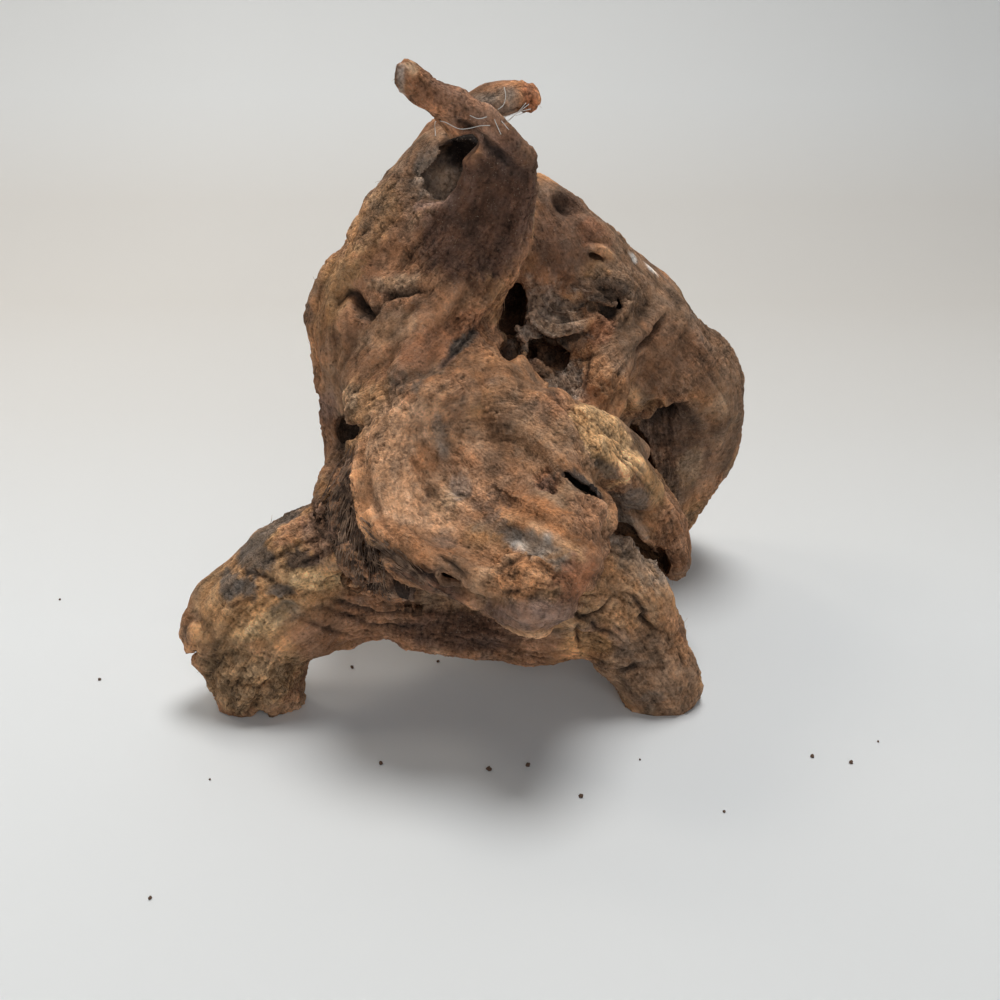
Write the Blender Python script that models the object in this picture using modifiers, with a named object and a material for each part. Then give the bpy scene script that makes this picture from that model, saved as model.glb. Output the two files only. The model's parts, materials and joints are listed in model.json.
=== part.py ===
"""Driftwood root: one piece of water-worn root wood that stands on two front feet and a rear heel.

The frame is +Z up, with the origin on the floor below the middle of the root's outline.
The front is -Y, where the blunt stub of the main trunk points. Sizes below are in
millimetres, and MM turns them into metres.
"""

import math
import random

import bmesh
import bpy
import numpy as np
from mathutils import Euler, Matrix, Vector

MM = 0.001
SEED = 4

RING_POINTS = 48
STEPS_PER_SPAN = 6
FUSE_VOXEL = 3.0
WEATHER_VOXEL = 2.4
LUMP_SIZE = 26
LUMP_HEIGHT = 6
LUMP_MIDDLE = 0.5
LUMP_OCTAVES = 3
TRIANGLE_SHARE = 0.145
FLOOR_WIDTH = 400
FLOOR_DEPTH = 20
TIP_RISE = 0.5
SOFTEN_FACTOR = 0.5
FUSE_SOFTENING = 4
WEATHER_SOFTENING = 3

# Flutes run along each limb: lobes round the section, and their height as a share of it.
FLUTES = ((2, 0.05), (3, 0.06), (5, 0.05), (8, 0.03))
FLUTE_TWIST = 0.35

WOOD_COLOUR = (0.19, 0.1, 0.055, 1.0)
WOOD_ROUGHNESS = 0.85
WOOD_METALLIC = 0.0

# The limbs below are laid out from the trunk, and this move puts the middle of the outline
# over the origin.
CENTRE_MOVE = (3.06, -7.11, 0)

# Each limb is a loft of oval sections. A station holds x, y, z, the half width and the
# half thickness; "face" is the direction that the broad side of the limb looks in.
LIMBS = {
    "trunk": {
        "face": (-0.1, -0.6, 0.8),
        "stations": [
            (0, 14, 179, 12, 12),
            (-6, 12, 168, 18, 16),
            (-15, 10, 151, 25, 20),
            (-26, 7, 134, 27, 23),
            (-30, 1, 117, 28, 25),
            (-18, -12, 101, 33, 26),
            (-4, -35, 87, 36, 23),
            (5, -56, 78, 33, 18),
            (14, -74, 73, 25, 13),
            (19, -85, 72, 16, 9),
        ],
    },
    "left_cheek": {
        "face": (0.1, -0.5, 0.85),
        "stations": [
            (-34, 2, 107, 18, 20),
            (-34, -18, 95, 18, 20),
            (-32, -38, 84, 19, 19),
            (-24, -54, 75, 19, 14),
            (-10, -66, 70, 17, 10),
        ],
    },
    "lower_lip": {
        "face": (-0.2, -0.5, 0.85),
        "stations": [
            (-6, -54, 64, 18, 9),
            (6, -70, 63, 18, 9),
            (17, -83, 66, 14, 8),
        ],
    },
    "right_cheek": {
        "face": (0.2, -0.5, 0.85),
        "stations": [
            (8, -12, 96, 15, 17),
            (20, -30, 83, 14, 16),
            (28, -48, 72, 12, 14),
            (30, -62, 66, 9, 11),
        ],
    },
    "shoulder": {
        "face": (0.0, -1.0, 0.0),
        "stations": [
            (-22, 30, 179, 9, 10),
            (-31, 27, 165, 14, 16),
            (-38, 22, 149, 18, 20),
            (-45, 16, 130, 23, 23),
            (-46, 12, 110, 21, 22),
            (-47, 8, 90, 18, 20),
            (-48, 2, 72, 16, 18),
            (-50, -10, 60, 15, 15),
        ],
    },
    "crown": {
        "face": (0.0, -1.0, 0.0),
        "stations": [
            (-27, 26, 176, 11, 11),
            (-14, 22, 176, 15, 13),
            (2, 18, 170, 15, 12),
        ],
    },
    "left_leg": {
        "face": (0.0, -1.0, 0.25),
        "stations": [
            (-26, -18, 52, 27, 20),
            (-50, -28, 50, 26, 17),
            (-70, -35, 45, 24, 15),
            (-85, -39, 31, 25, 13),
            (-86, -41, 13, 19, 12),
            (-86, -41, -6, 15, 10),
        ],
    },
    "right_leg": {
        "face": (0.0, -1.0, 0.25),
        "stations": [
            (8, -24, 62, 22, 20),
            (25, -30, 51, 21, 18),
            (39, -35, 37, 20, 16),
            (50, -38, 22, 18, 14),
            (57, -39, 9, 15, 13),
            (59, -39, -6, 11, 11),
        ],
    },
    "belly": {
        "face": (0.0, -1.0, 0.0),
        "stations": [
            (-42, -26, 44, 20, 15),
            (-20, -32, 40, 21, 16),
            (6, -36, 38, 21, 17),
            (30, -38, 38, 20, 16),
        ],
    },
    "side_limb": {
        "face": (0.3, -0.6, 0.7),
        "stations": [
            (6, -4, 93, 16, 18),
            (28, -7, 87, 12, 16),
            (41, -6, 74, 13, 14),
            (53, -4, 59, 14, 14),
            (63, -1, 44, 13, 13),
            (67, 0, 33, 10, 10),
        ],
    },
    "rear_mass": {
        "face": (0.0, -1.0, 0.0),
        "stations": [
            (6, 38, 163, 13, 14),
            (17, 44, 149, 19, 18),
            (33, 52, 126, 25, 20),
            (51, 58, 104, 30, 22),
            (64, 62, 81, 36, 24),
            (68, 66, 56, 31, 23),
            (67, 72, 32, 25, 21),
            (61, 78, 12, 19, 17),
            (58, 80, -6, 15, 14),
        ],
    },
    "heel_toe": {
        "face": (0.5, 0.6, 0.5),
        "stations": [
            (62, 74, 46, 15, 14),
            (66, 84, 28, 13, 11),
            (71, 92, 12, 12, 9),
            (74, 96, 0, 10, 8),
            (74, 97, -8, 9, 7),
        ],
    },
    "inner_column": {
        "face": (0.0, -1.0, 0.0),
        "stations": [
            (30, 42, 144, 13, 12),
            (36, 35, 122, 15, 14),
            (38, 27, 102, 14, 14),
            (33, 14, 88, 12, 12),
        ],
    },
    "core": {
        "face": (0.0, -1.0, 0.0),
        "stations": [
            (-12, 28, 164, 18, 16),
            (-8, 32, 146, 28, 19),
            (0, 40, 122, 38, 20),
            (4, 36, 96, 42, 26),
            (4, 28, 72, 34, 26),
        ],
    },
    "horn": {
        "face": (0.0, -1.0, 0.0),
        "stations": [
            (4, 8, 170, 12, 11),
            (1, 2, 182, 10, 9),
            (-9, -4, 194, 8.5, 6.5),
            (-20, -9, 204, 8, 5.5),
            (-30, -13, 212, 6.5, 5),
        ],
    },
    "back_root": {
        "face": (0.0, 1.0, 0.3),
        "stations": [
            (-8, 44, 144, 13, 10),
            (-14, 56, 116, 17, 13),
            (-25, 67, 90, 16, 12),
            (-34, 74, 68, 13, 9),
            (-39, 78, 54, 9, 6),
        ],
    },
    "rear_stub": {
        "face": (0.0, -1.0, 0.0),
        "stations": [
            (-24, 36, 182, 8, 8),
            (-12, 44, 192, 7.5, 7),
            (0, 48, 196, 7, 6.5),
            (10, 50, 198, 6.5, 6),
        ],
    },
}

# Worn pockets: centre, half sizes, and turns about X, Y and Z in degrees.
HOLLOWS = {
    "oval_pocket": ((-18, 7, 177), (9, 9, 12), (0, 25, 0)),
    "oval_pocket_deep": ((-12, 10, 181), (5, 10, 6), (0, 40, 0)),
    "upper_cavity": ((6, 12, 130), (5, 18, 11), (0, 8, 0)),
    "lower_cavity": ((6, 10, 111), (6, 18, 7), (0, 0, 0)),
    "cavity_gutter": ((17, 4, 107), (11, 12, 7), (0, 35, 0)),
    "lobe_pocket": ((59, 32, 70), (12, 17, 17), (0, 15, 0)),
    "notch_hole": ((-54, -14, 91), (6, 12, 5), (0, 0, 0)),
    "knot_pocket": ((41, 32, 129), (9, 7, 6), (0, 30, 0)),
    "small_pocket": ((38, 35, 141), (6, 5, 4), (0, 35, 0)),
    "top_dimple": ((23, 31, 161), (5, 5, 4), (0, 0, 0)),
    "back_trough": ((42, 84, 104), (13, 12, 32), (0, -28, 0)),
    "back_pocket": ((-16, 52, 136), (12, 9, 16), (0, 15, 0)),
}


def smooth_path(stations):
    """Catmull-Rom curve through the stations, with every value of a station carried along."""
    rows = np.array(stations, float)
    rows = np.vstack([2 * rows[0] - rows[1], rows, 2 * rows[-1] - rows[-2]])
    t = np.linspace(0, 1, STEPS_PER_SPAN, endpoint=False)[:, None]
    spans = [
        0.5 * (2 * b + (c - a) * t + (2 * a - 5 * b + 4 * c - d) * t**2 + (3 * b - a - 3 * c + d) * t**3)
        for a, b, c, d in zip(rows, rows[1:], rows[2:], rows[3:])
    ]
    return np.vstack(spans + [rows[-2][None]])


def fluted(angle, step, phases):
    """How far a section stands out at this angle: sines round the limb that drift slowly along it."""
    return 1 + sum(
        share * math.sin(lobes * (angle + phase) + FLUTE_TWIST * step * math.cos(phase))
        for (lobes, share), phase in zip(FLUTES, phases)
    )


def add_limb(bm, face, stations, phases):
    """Loft of fluted oval rings along the path, closed by a point a little past each end."""
    path = smooth_path(stations) * MM
    centres = [Vector(row[:3]) for row in path]
    rings = []
    for i, row in enumerate(path):
        tangent = (centres[min(i + 1, len(path) - 1)] - centres[max(i - 1, 0)]).normalized()
        side = tangent.cross(Vector(face)).normalized()
        up = side.cross(tangent)
        ring = []
        for k in range(RING_POINTS):
            angle = 2 * math.pi * k / RING_POINTS
            offset = side * math.cos(angle) * row[3] + up * math.sin(angle) * row[4]
            ring.append(bm.verts.new(centres[i] + offset * fluted(angle, i, phases)))
        rings.append(ring)
    for low, high in zip(rings, rings[1:]):
        for k in range(RING_POINTS):
            j = (k + 1) % RING_POINTS
            bm.faces.new((low[k], low[j], high[j], high[k]))
    for ring, centre, inner, row in (
        (rings[0], centres[0], centres[1], path[0]),
        (rings[-1], centres[-1], centres[-2], path[-1]),
    ):
        tip = bm.verts.new(centre + (centre - inner).normalized() * row[4] * TIP_RISE)
        for k in range(RING_POINTS):
            bm.faces.new((ring[k], ring[(k + 1) % RING_POINTS], tip))


def make_limbs(collection):
    """All limbs in one mesh, as loose closed shells that run into each other."""
    bm = bmesh.new()
    draw = random.Random(SEED)
    for limb in LIMBS.values():
        phases = [draw.uniform(0, 2 * math.pi) for _ in FLUTES]
        add_limb(bm, limb["face"], limb["stations"], phases)
    bmesh.ops.recalc_face_normals(bm, faces=bm.faces)
    mesh = bpy.data.meshes.new("driftwood_root")
    bm.to_mesh(mesh)
    bm.free()
    root = bpy.data.objects.new("driftwood_root", mesh)
    collection.objects.link(root)
    root.location = Vector(CENTRE_MOVE) * MM
    return root


def make_hollows(collection):
    """One egg-shaped cutter for each worn pocket."""
    for name, (centre, half_sizes, turns) in HOLLOWS.items():
        bm = bmesh.new()
        bmesh.ops.create_icosphere(bm, subdivisions=3, radius=1.0)
        turn = Euler([math.radians(a) for a in turns]).to_matrix().to_4x4()
        place = Matrix.Translation(Vector(centre) * MM) @ turn @ Matrix.Diagonal([*(s * MM for s in half_sizes), 1])
        bmesh.ops.transform(bm, matrix=place, verts=bm.verts)
        mesh = bpy.data.meshes.new(name)
        bm.to_mesh(mesh)
        bm.free()
        cutter = bpy.data.objects.new(name, mesh)
        cutter.location = Vector(CENTRE_MOVE) * MM
        cutter.hide_render = True
        cutter.display_type = "WIRE"
        collection.objects.link(cutter)


def make_floor(collection):
    """A slab below the floor, which cuts the feet flat where they stand."""
    bm = bmesh.new()
    size = Matrix.Diagonal((FLOOR_WIDTH * MM, FLOOR_WIDTH * MM, FLOOR_DEPTH * MM, 1))
    place = Matrix.Translation((0, 0, -FLOOR_DEPTH * MM / 2))
    bmesh.ops.create_cube(bm, size=1, matrix=place @ size)
    mesh = bpy.data.meshes.new("floor")
    bm.to_mesh(mesh)
    bm.free()
    slab = bpy.data.objects.new("floor", mesh)
    slab.hide_render = True
    slab.display_type = "WIRE"
    collection.objects.link(slab)
    return slab


def remesh(obj, name, voxel, smoothing):
    skin = obj.modifiers.new(name, "REMESH")
    skin.mode = "VOXEL"
    skin.voxel_size = voxel * MM
    skin.use_smooth_shade = True
    soften = obj.modifiers.new(name + "_soften", "SMOOTH")
    soften.factor = SOFTEN_FACTOR
    soften.iterations = smoothing


def wood():
    material = bpy.data.materials.new("wood")
    material.use_nodes = True
    surface = material.node_tree.nodes["Principled BSDF"]
    surface.inputs["Base Color"].default_value = WOOD_COLOUR
    surface.inputs["Roughness"].default_value = WOOD_ROUGHNESS
    surface.inputs["Metallic"].default_value = WOOD_METALLIC
    material.diffuse_color = WOOD_COLOUR
    return material


def main():
    for old in list(bpy.data.objects):
        bpy.data.objects.remove(old)
    parts = bpy.data.collections.new("driftwood")
    hollows = bpy.data.collections.new("hollow_cutters")
    cutters = bpy.data.collections.new("floor_cutter")
    for collection in (parts, hollows, cutters):
        bpy.context.scene.collection.children.link(collection)
    root = make_limbs(parts)
    root.data.materials.append(wood())
    make_hollows(hollows)
    remesh(root, "fuse", FUSE_VOXEL, FUSE_SOFTENING)
    carve = root.modifiers.new("carve", "BOOLEAN")
    carve.operation = "DIFFERENCE"
    carve.operand_type = "COLLECTION"
    carve.collection = hollows
    remesh(root, "weather", WEATHER_VOXEL, WEATHER_SOFTENING)
    lumps = bpy.data.textures.new("lumps", "CLOUDS")
    lumps.noise_scale = LUMP_SIZE * MM
    lumps.noise_depth = LUMP_OCTAVES
    swell = root.modifiers.new("swell", "DISPLACE")
    swell.texture = lumps
    swell.strength = LUMP_HEIGHT * MM
    swell.mid_level = LUMP_MIDDLE
    thin = root.modifiers.new("thin", "DECIMATE")
    thin.ratio = TRIANGLE_SHARE
    stand = root.modifiers.new("stand", "BOOLEAN")
    stand.operation = "DIFFERENCE"
    stand.object = make_floor(cutters)


main()
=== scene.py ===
import json
import math
import time

import bmesh
import bpy
import numpy as np
from mathutils import Matrix, Vector
from mathutils.bvhtree import BVHTree

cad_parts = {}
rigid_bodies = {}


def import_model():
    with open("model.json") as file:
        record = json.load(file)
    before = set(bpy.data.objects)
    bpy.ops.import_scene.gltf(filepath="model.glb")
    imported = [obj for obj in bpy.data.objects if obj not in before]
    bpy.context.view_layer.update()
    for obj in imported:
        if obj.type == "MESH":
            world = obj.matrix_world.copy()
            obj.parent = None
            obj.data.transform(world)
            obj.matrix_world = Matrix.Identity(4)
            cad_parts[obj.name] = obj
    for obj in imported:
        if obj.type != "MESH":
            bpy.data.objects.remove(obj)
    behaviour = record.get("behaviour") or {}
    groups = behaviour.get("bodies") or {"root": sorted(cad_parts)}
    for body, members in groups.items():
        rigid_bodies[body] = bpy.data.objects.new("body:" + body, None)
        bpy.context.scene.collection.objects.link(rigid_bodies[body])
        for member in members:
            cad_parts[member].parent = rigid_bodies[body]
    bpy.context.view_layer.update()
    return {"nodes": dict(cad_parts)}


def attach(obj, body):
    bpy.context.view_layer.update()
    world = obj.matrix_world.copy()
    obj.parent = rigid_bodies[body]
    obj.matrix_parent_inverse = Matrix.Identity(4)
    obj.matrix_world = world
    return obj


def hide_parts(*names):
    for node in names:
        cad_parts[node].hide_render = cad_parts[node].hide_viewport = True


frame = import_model()
startTime = time.time()
mm = 0.001


def report(text):
    print(f"{time.time() - startTime:6.1f} s  {text}")


# The camera stands where the photograph was taken from. Lengths are in metres, angles in degrees.
photo = {
    "side": 1000,
    "lens": 40.0,
    "sensor": 36.0,
    "elevation": 25.0,
    "aim": (0.0031, -0.0271, 0.070),
    "distance": 0.39,
}
tilt = math.radians(photo["elevation"])
lookForward = np.array([0.0, math.cos(tilt), -math.sin(tilt)])
lookRight = np.array([1.0, 0.0, 0.0])
lookUp = np.cross(lookRight, lookForward)
eye = np.array(photo["aim"]) - lookForward * photo["distance"]
middle = photo["side"] / 2
focal = photo["side"] * photo["lens"] / photo["sensor"]


def makeCamera():
    data = bpy.data.cameras.new("photoCamera")
    data.lens = photo["lens"]
    data.sensor_width = photo["sensor"]
    data.clip_start = 0.01
    camera = bpy.data.objects.new("photoCamera", data)
    camera.location = eye
    camera.rotation_mode = "QUATERNION"
    camera.rotation_quaternion = Vector(lookForward).to_track_quat("-Z", "Y")
    bpy.context.scene.collection.objects.link(camera)
    bpy.context.scene.camera = camera


def pixelRay(u, v):
    # forward + right * (u - middle) / focal - up * (v - middle) / focal, made one unit long
    ray = lookForward + lookRight * (u - middle) / focal - lookUp * (v - middle) / focal
    return ray / np.linalg.norm(ray)


def toPixels(points):
    away = points - eye
    depth = away @ lookForward
    return np.stack([middle + focal * (away @ lookRight) / depth,
        middle - focal * (away @ lookUp) / depth, depth], 1)


def cloud(points, size, seed, octaves=1):
    # Random values on a cubic lattice of this cell size, blended across each cell by 3t^2 - 2t^3.
    # Each octave halves the cell and the strength. The result lies between 0 and 1.
    cells = 48
    total = np.zeros(len(points))
    strength = 0.0
    for octave in range(octaves):
        table = np.random.default_rng(seed + octave).random((cells, cells, cells))
        spot = points / (size * 0.5**octave)
        corner = np.floor(spot).astype(int)
        t = spot - corner
        t = t * t * (3 - 2 * t)
        value = np.zeros(len(points))
        for dx in (0, 1):
            for dy in (0, 1):
                for dz in (0, 1):
                    share = abs(1 - dx - t[:, 0]) * abs(1 - dy - t[:, 1]) * abs(1 - dz - t[:, 2])
                    i, j, k = ((corner + (dx, dy, dz)) % cells).T
                    value += share * table[i, j, k]
        total += value * 0.5**octave
        strength += 0.5**octave
    return total / strength


def stepUp(value, low, high):
    # 0 below low, 1 above high, and 3t^2 - 2t^3 between them; it falls instead where low is above high
    t = np.clip((value - low) / (high - low), 0, 1)
    return t * t * (3 - 2 * t)


def pointsOf(mesh):
    where = np.zeros(len(mesh.vertices) * 3)
    mesh.vertices.foreach_get("co", where)
    return where.reshape(-1, 3)


def pointsAlong(line, at):
    # the rows of a line, blended where a place falls between two of them
    line = np.asarray(line, float)
    return np.stack([np.interp(at, np.arange(len(line)), column) for column in line.T], 1)


def spotsAlong(line, count, spread, draw):
    # evenly spread spots on a line, each shifted by a random share of the line's length
    at = np.clip(np.linspace(0, 1, count) + draw.normal(0, spread, count), 0, 1) * (len(line) - 1)
    return pointsAlong(line, at)


def meshFrom(name, points, faces):
    mesh = bpy.data.meshes.new(name)
    mesh.from_pydata([tuple(p) for p in points], [], [tuple(f) for f in faces])
    mesh.update()
    return mesh


def tube(path, radii, sides):
    # A round profile carried along a path: centre + side * r * cos(a) + up * r * sin(a), where side
    # and up stand square to the path and turn with it as little as they can.
    path = np.asarray(path, float)
    radii = np.broadcast_to(radii, len(path))
    tangent = np.gradient(path, axis=0)
    tangent /= np.linalg.norm(tangent, axis=1)[:, None]
    guide = np.eye(3)[np.abs(tangent[0]).argmin()]
    sidesOut, upsOut = [], []
    for t in tangent:
        side = guide - t * (guide @ t)
        side /= np.linalg.norm(side)
        guide = side
        sidesOut.append(side)
        upsOut.append(np.cross(t, side))
    angle = np.linspace(0, 2 * math.pi, sides, endpoint=False)
    ring = np.cos(angle)[None, :, None] * np.array(sidesOut)[:, None] + np.sin(angle)[None, :,
        None] * np.array(upsOut)[:, None]
    points = (path[:, None] + ring * radii[:, None, None]).reshape(-1, 3)
    row = np.arange(len(path) - 1)[:, None] * sides
    k = np.arange(sides)[None, :]
    j = (k + 1) % sides
    faces = np.stack([row + k, row + j, row + sides + j, row + sides + k], 2).reshape(-1, 4).tolist()
    faces.append(list(range(sides))[::-1])
    faces.append(list(range(len(points) - sides, len(points))))
    return points, faces


makeCamera()

# The rough skin: the frame's own root, with the dark holes carved and a few strands added

rootNode = frame["nodes"]["driftwood_root"]
rough = bmesh.new()
rough.from_mesh(rootNode.data)
bmesh.ops.remove_doubles(rough, verts=rough.verts, dist=1e-6)
findSurface = BVHTree.FromBMesh(rough)
roughMesh = bpy.data.meshes.new("roughSkin")
rough.to_mesh(roughMesh)
rough.free()

# Small pulls that bring edges where the photograph has them: pixel, shift in pixels, reach in
# pixels. A point moves by shift * exp(-(distance / reach)^2) in the picture's plane.
pulls = {
    "hornTip": (395, 74, 6, 0, 13),
    "hornTipTop": (416, 60, -1, 4, 12),
    "hornTop": (440, 73, -2, 8, 17),
    "hornTopLow": (466, 89, -2, 7, 17),
    "hornBase": (488, 106, -1, 4, 14),
    "neckRight": (531, 148, 5, -3, 16),
    "crest": (568, 194, 4, -7, 22),
    "rearEdge": (650, 258, -4, 5, 26),
    "rearRound": (737, 360, 4, -1, 26),
    "rearLow": (738, 434, -6, 0, 28),
    "sideEnd": (698, 540, -10, 0, 26),
    "rightLegTop": (676, 590, -4, 2, 20),
    "bodyLeft": (322, 250, 6, 1, 26),
    "bodyHigh": (362, 192, -4, -2, 20),
    "legShoulder": (225, 545, 6, 7, 30),
    "spike": (186, 633, -5, 3, 12),
    "footLeft": (206, 692, -7, 2, 16),
    "foldOuter": (322, 498, -7, 0, 16),
    "archLeft": (345, 645, 0, 7, 24),
    "stubRight": (622, 475, -16, 0, 30),
    "stubRightLow": (626, 525, -18, 0, 30),
    "stubRightEnd": (624, 568, -13, 0, 24),
    "stubLeftLow": (348, 515, 9, 0, 24),
    "stubUnder": (400, 582, 4, -6, 20),
    "stubUnderTwo": (452, 606, 2, -15, 24),
    "stubUnderThree": (486, 622, 0, -14, 24),
    "lipLow": (520, 634, 0, -6, 22),
    "stubRightMost": (618, 535, -9, 0, 24),
    "toeRight": (312, 688, -12, 0, 16),
    "toeFarRight": (650, 702, -14, 2, 20),
    "rearBump": (726, 340, -9, 6, 18),
    "rearLowEnd": (722, 496, 6, 0, 22),
    "crestRight": (586, 204, 5, -4, 14),
    "rearEdgeHigh": (666, 272, -3, 3, 16),
    "rearRoundLow": (745, 412, -4, 0, 28),
    "bodyLeftHigh": (344, 250, 4, 1, 16),
    "bodyLeftLow": (314, 306, 3, 0, 24),
    "legShoulderLow": (215, 574, 4, 3, 22),
    "sideEndLow": (690, 566, -5, 0, 18),
}


# Pushes away from the camera, which leave the picture's outline as it is: pixel, mm, reach in pixels.
pushes = {
    "rimHigh": (366, 472, -4, 28),
    "rimMiddle": (378, 528, -5, 32),
    "rimLow": (424, 568, -5, 32),
    "trunkMiddle": (478, 482, 8, 56),
    "trunkEnd": (500, 540, 4, 40),
    "lobeHollow": (684, 452, 12, 38),
    "saddleLeft": (388, 408, -5, 28),
    "saddleMiddle": (438, 388, -6, 32),
    "saddleRight": (486, 368, -3, 22),
    "lobeNose": (622, 386, -3, 28),
}
pullDepth = 0.035    # a pull fades over this many metres in front of and behind its pixel's point
footHeight = 0.004    # what lies below this height keeps its height


def pixelHit(u, v):
    # the first point of the rough skin behind this pixel, or the nearest point beside a ray that misses
    ray = Vector(pixelRay(u, v))
    found = findSurface.ray_cast(Vector(eye), ray)[0]
    if found is None:
        found = findSurface.find_nearest(Vector(eye) + ray * photo["distance"])[0]
    return np.array(found)


def pullRough():
    where = pointsOf(roughMesh)
    seen = toPixels(where)
    moved = where.copy()
    shifts = [(u, v, reach, du, dv, 0.0) for u, v, du, dv, reach in pulls.values()]
    shifts += [(u, v, reach, 0.0, 0.0, push) for u, v, push, reach in pushes.values()]
    for u, v, reach, du, dv, push in shifts:
        depth = (pixelHit(u, v) - eye) @ lookForward
        share = np.exp(-((seen[:, 0] - u) ** 2 + (seen[:, 1] - v) ** 2) / reach**2)
        share *= np.exp(-(((seen[:, 2] - depth) / pullDepth) ** 2))
        moved += share[:, None] * (lookRight * du - lookUp * dv) * depth / focal
        moved += share[:, None] * (where - eye) / seen[:, 2:] * push * mm
    feet = where[:, 2] < footHeight
    moved[:, 2] = np.where(feet, where[:, 2], np.maximum(moved[:, 2], 0.0))
    roughMesh.vertices.foreach_set("co", moved.ravel())
    roughMesh.update()
    return BVHTree.FromPolygons(moved.tolist(), [tuple(p.vertices) for p in roughMesh.polygons])


findSurface = pullRough()


def pixelsAtDepth(pixels, anchor):
    # points behind these pixels, all as far in front of the camera as the skin behind the anchor pixel
    depth = (pixelHit(*anchor) - eye) @ lookForward
    return np.array([eye + pixelRay(u, v) * depth / (pixelRay(u, v) @ lookForward) for u, v in pixels])


# Each hole: pixel, half width and half height in pixels, turn in degrees, half depth in mm and
# how far its middle lies behind the surface in mm.
holes = {
    "cavityTop": (512, 294, 18, 18, 0, 16, 8),
    "cavityTall": (510, 316, 18, 29, 4, 20, 8),
    "cavityRound": (509, 352, 16, 16, 0, 22, 9),
    "cavityFold": (526, 354, 13, 10, 20, 16, 8),
    "cavityCrescent": (548, 353, 25, 13, 18, 15, 7),
    "cavitySmall": (553, 391, 8, 8, -35, 12, 5),
    "knotCrevice": (602, 310, 18, 4.5, 14, 9, 4),
    "knotSide": (618, 299, 4.5, 10, -10, 8, 3),
    "upperPit": (596, 256, 12, 5, 24, 3.2, 0.6),
    "ovalPocket": (446, 172, 30, 38, 28, 4.5, 0.6),
    "ovalPocketDeep": (463, 147, 22, 13, -32, 14, 4),
    "notchHole": (351, 431, 13, 12, 0, 16, 7),
    "notchRight": (360, 428, 5, 7, 20, 8, 3),
    "legHole": (296, 556, 8, 4, 20, 8, 3),
    "legHoleTwo": (304, 551, 5, 4, -20, 6, 2),
    "stubHollow": (453, 577, 15, 6, 22, 13, 4),
    "stubPit": (541, 563, 8, 4.5, 30, 12, 4),
    "lobeGap": (642, 450, 8, 30, -24, 22, 8),
    "valleyCrack": (581, 488, 32, 4.5, 38, 11, 4),
    "spikeNotch": (197, 652, 7, 8, 25, 14, 0),
    "toeNotch": (262, 716, 10, 8, 0, 16, 0),
    "foldHoleOne": (338, 536, 4, 16, 12, 6, 1.5),
    "foldHoleTwo": (368, 590, 20, 5, 14, 7, 2),
    "valleyCut": (638, 548, 19, 50, -38, 14, 3),
}

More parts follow.
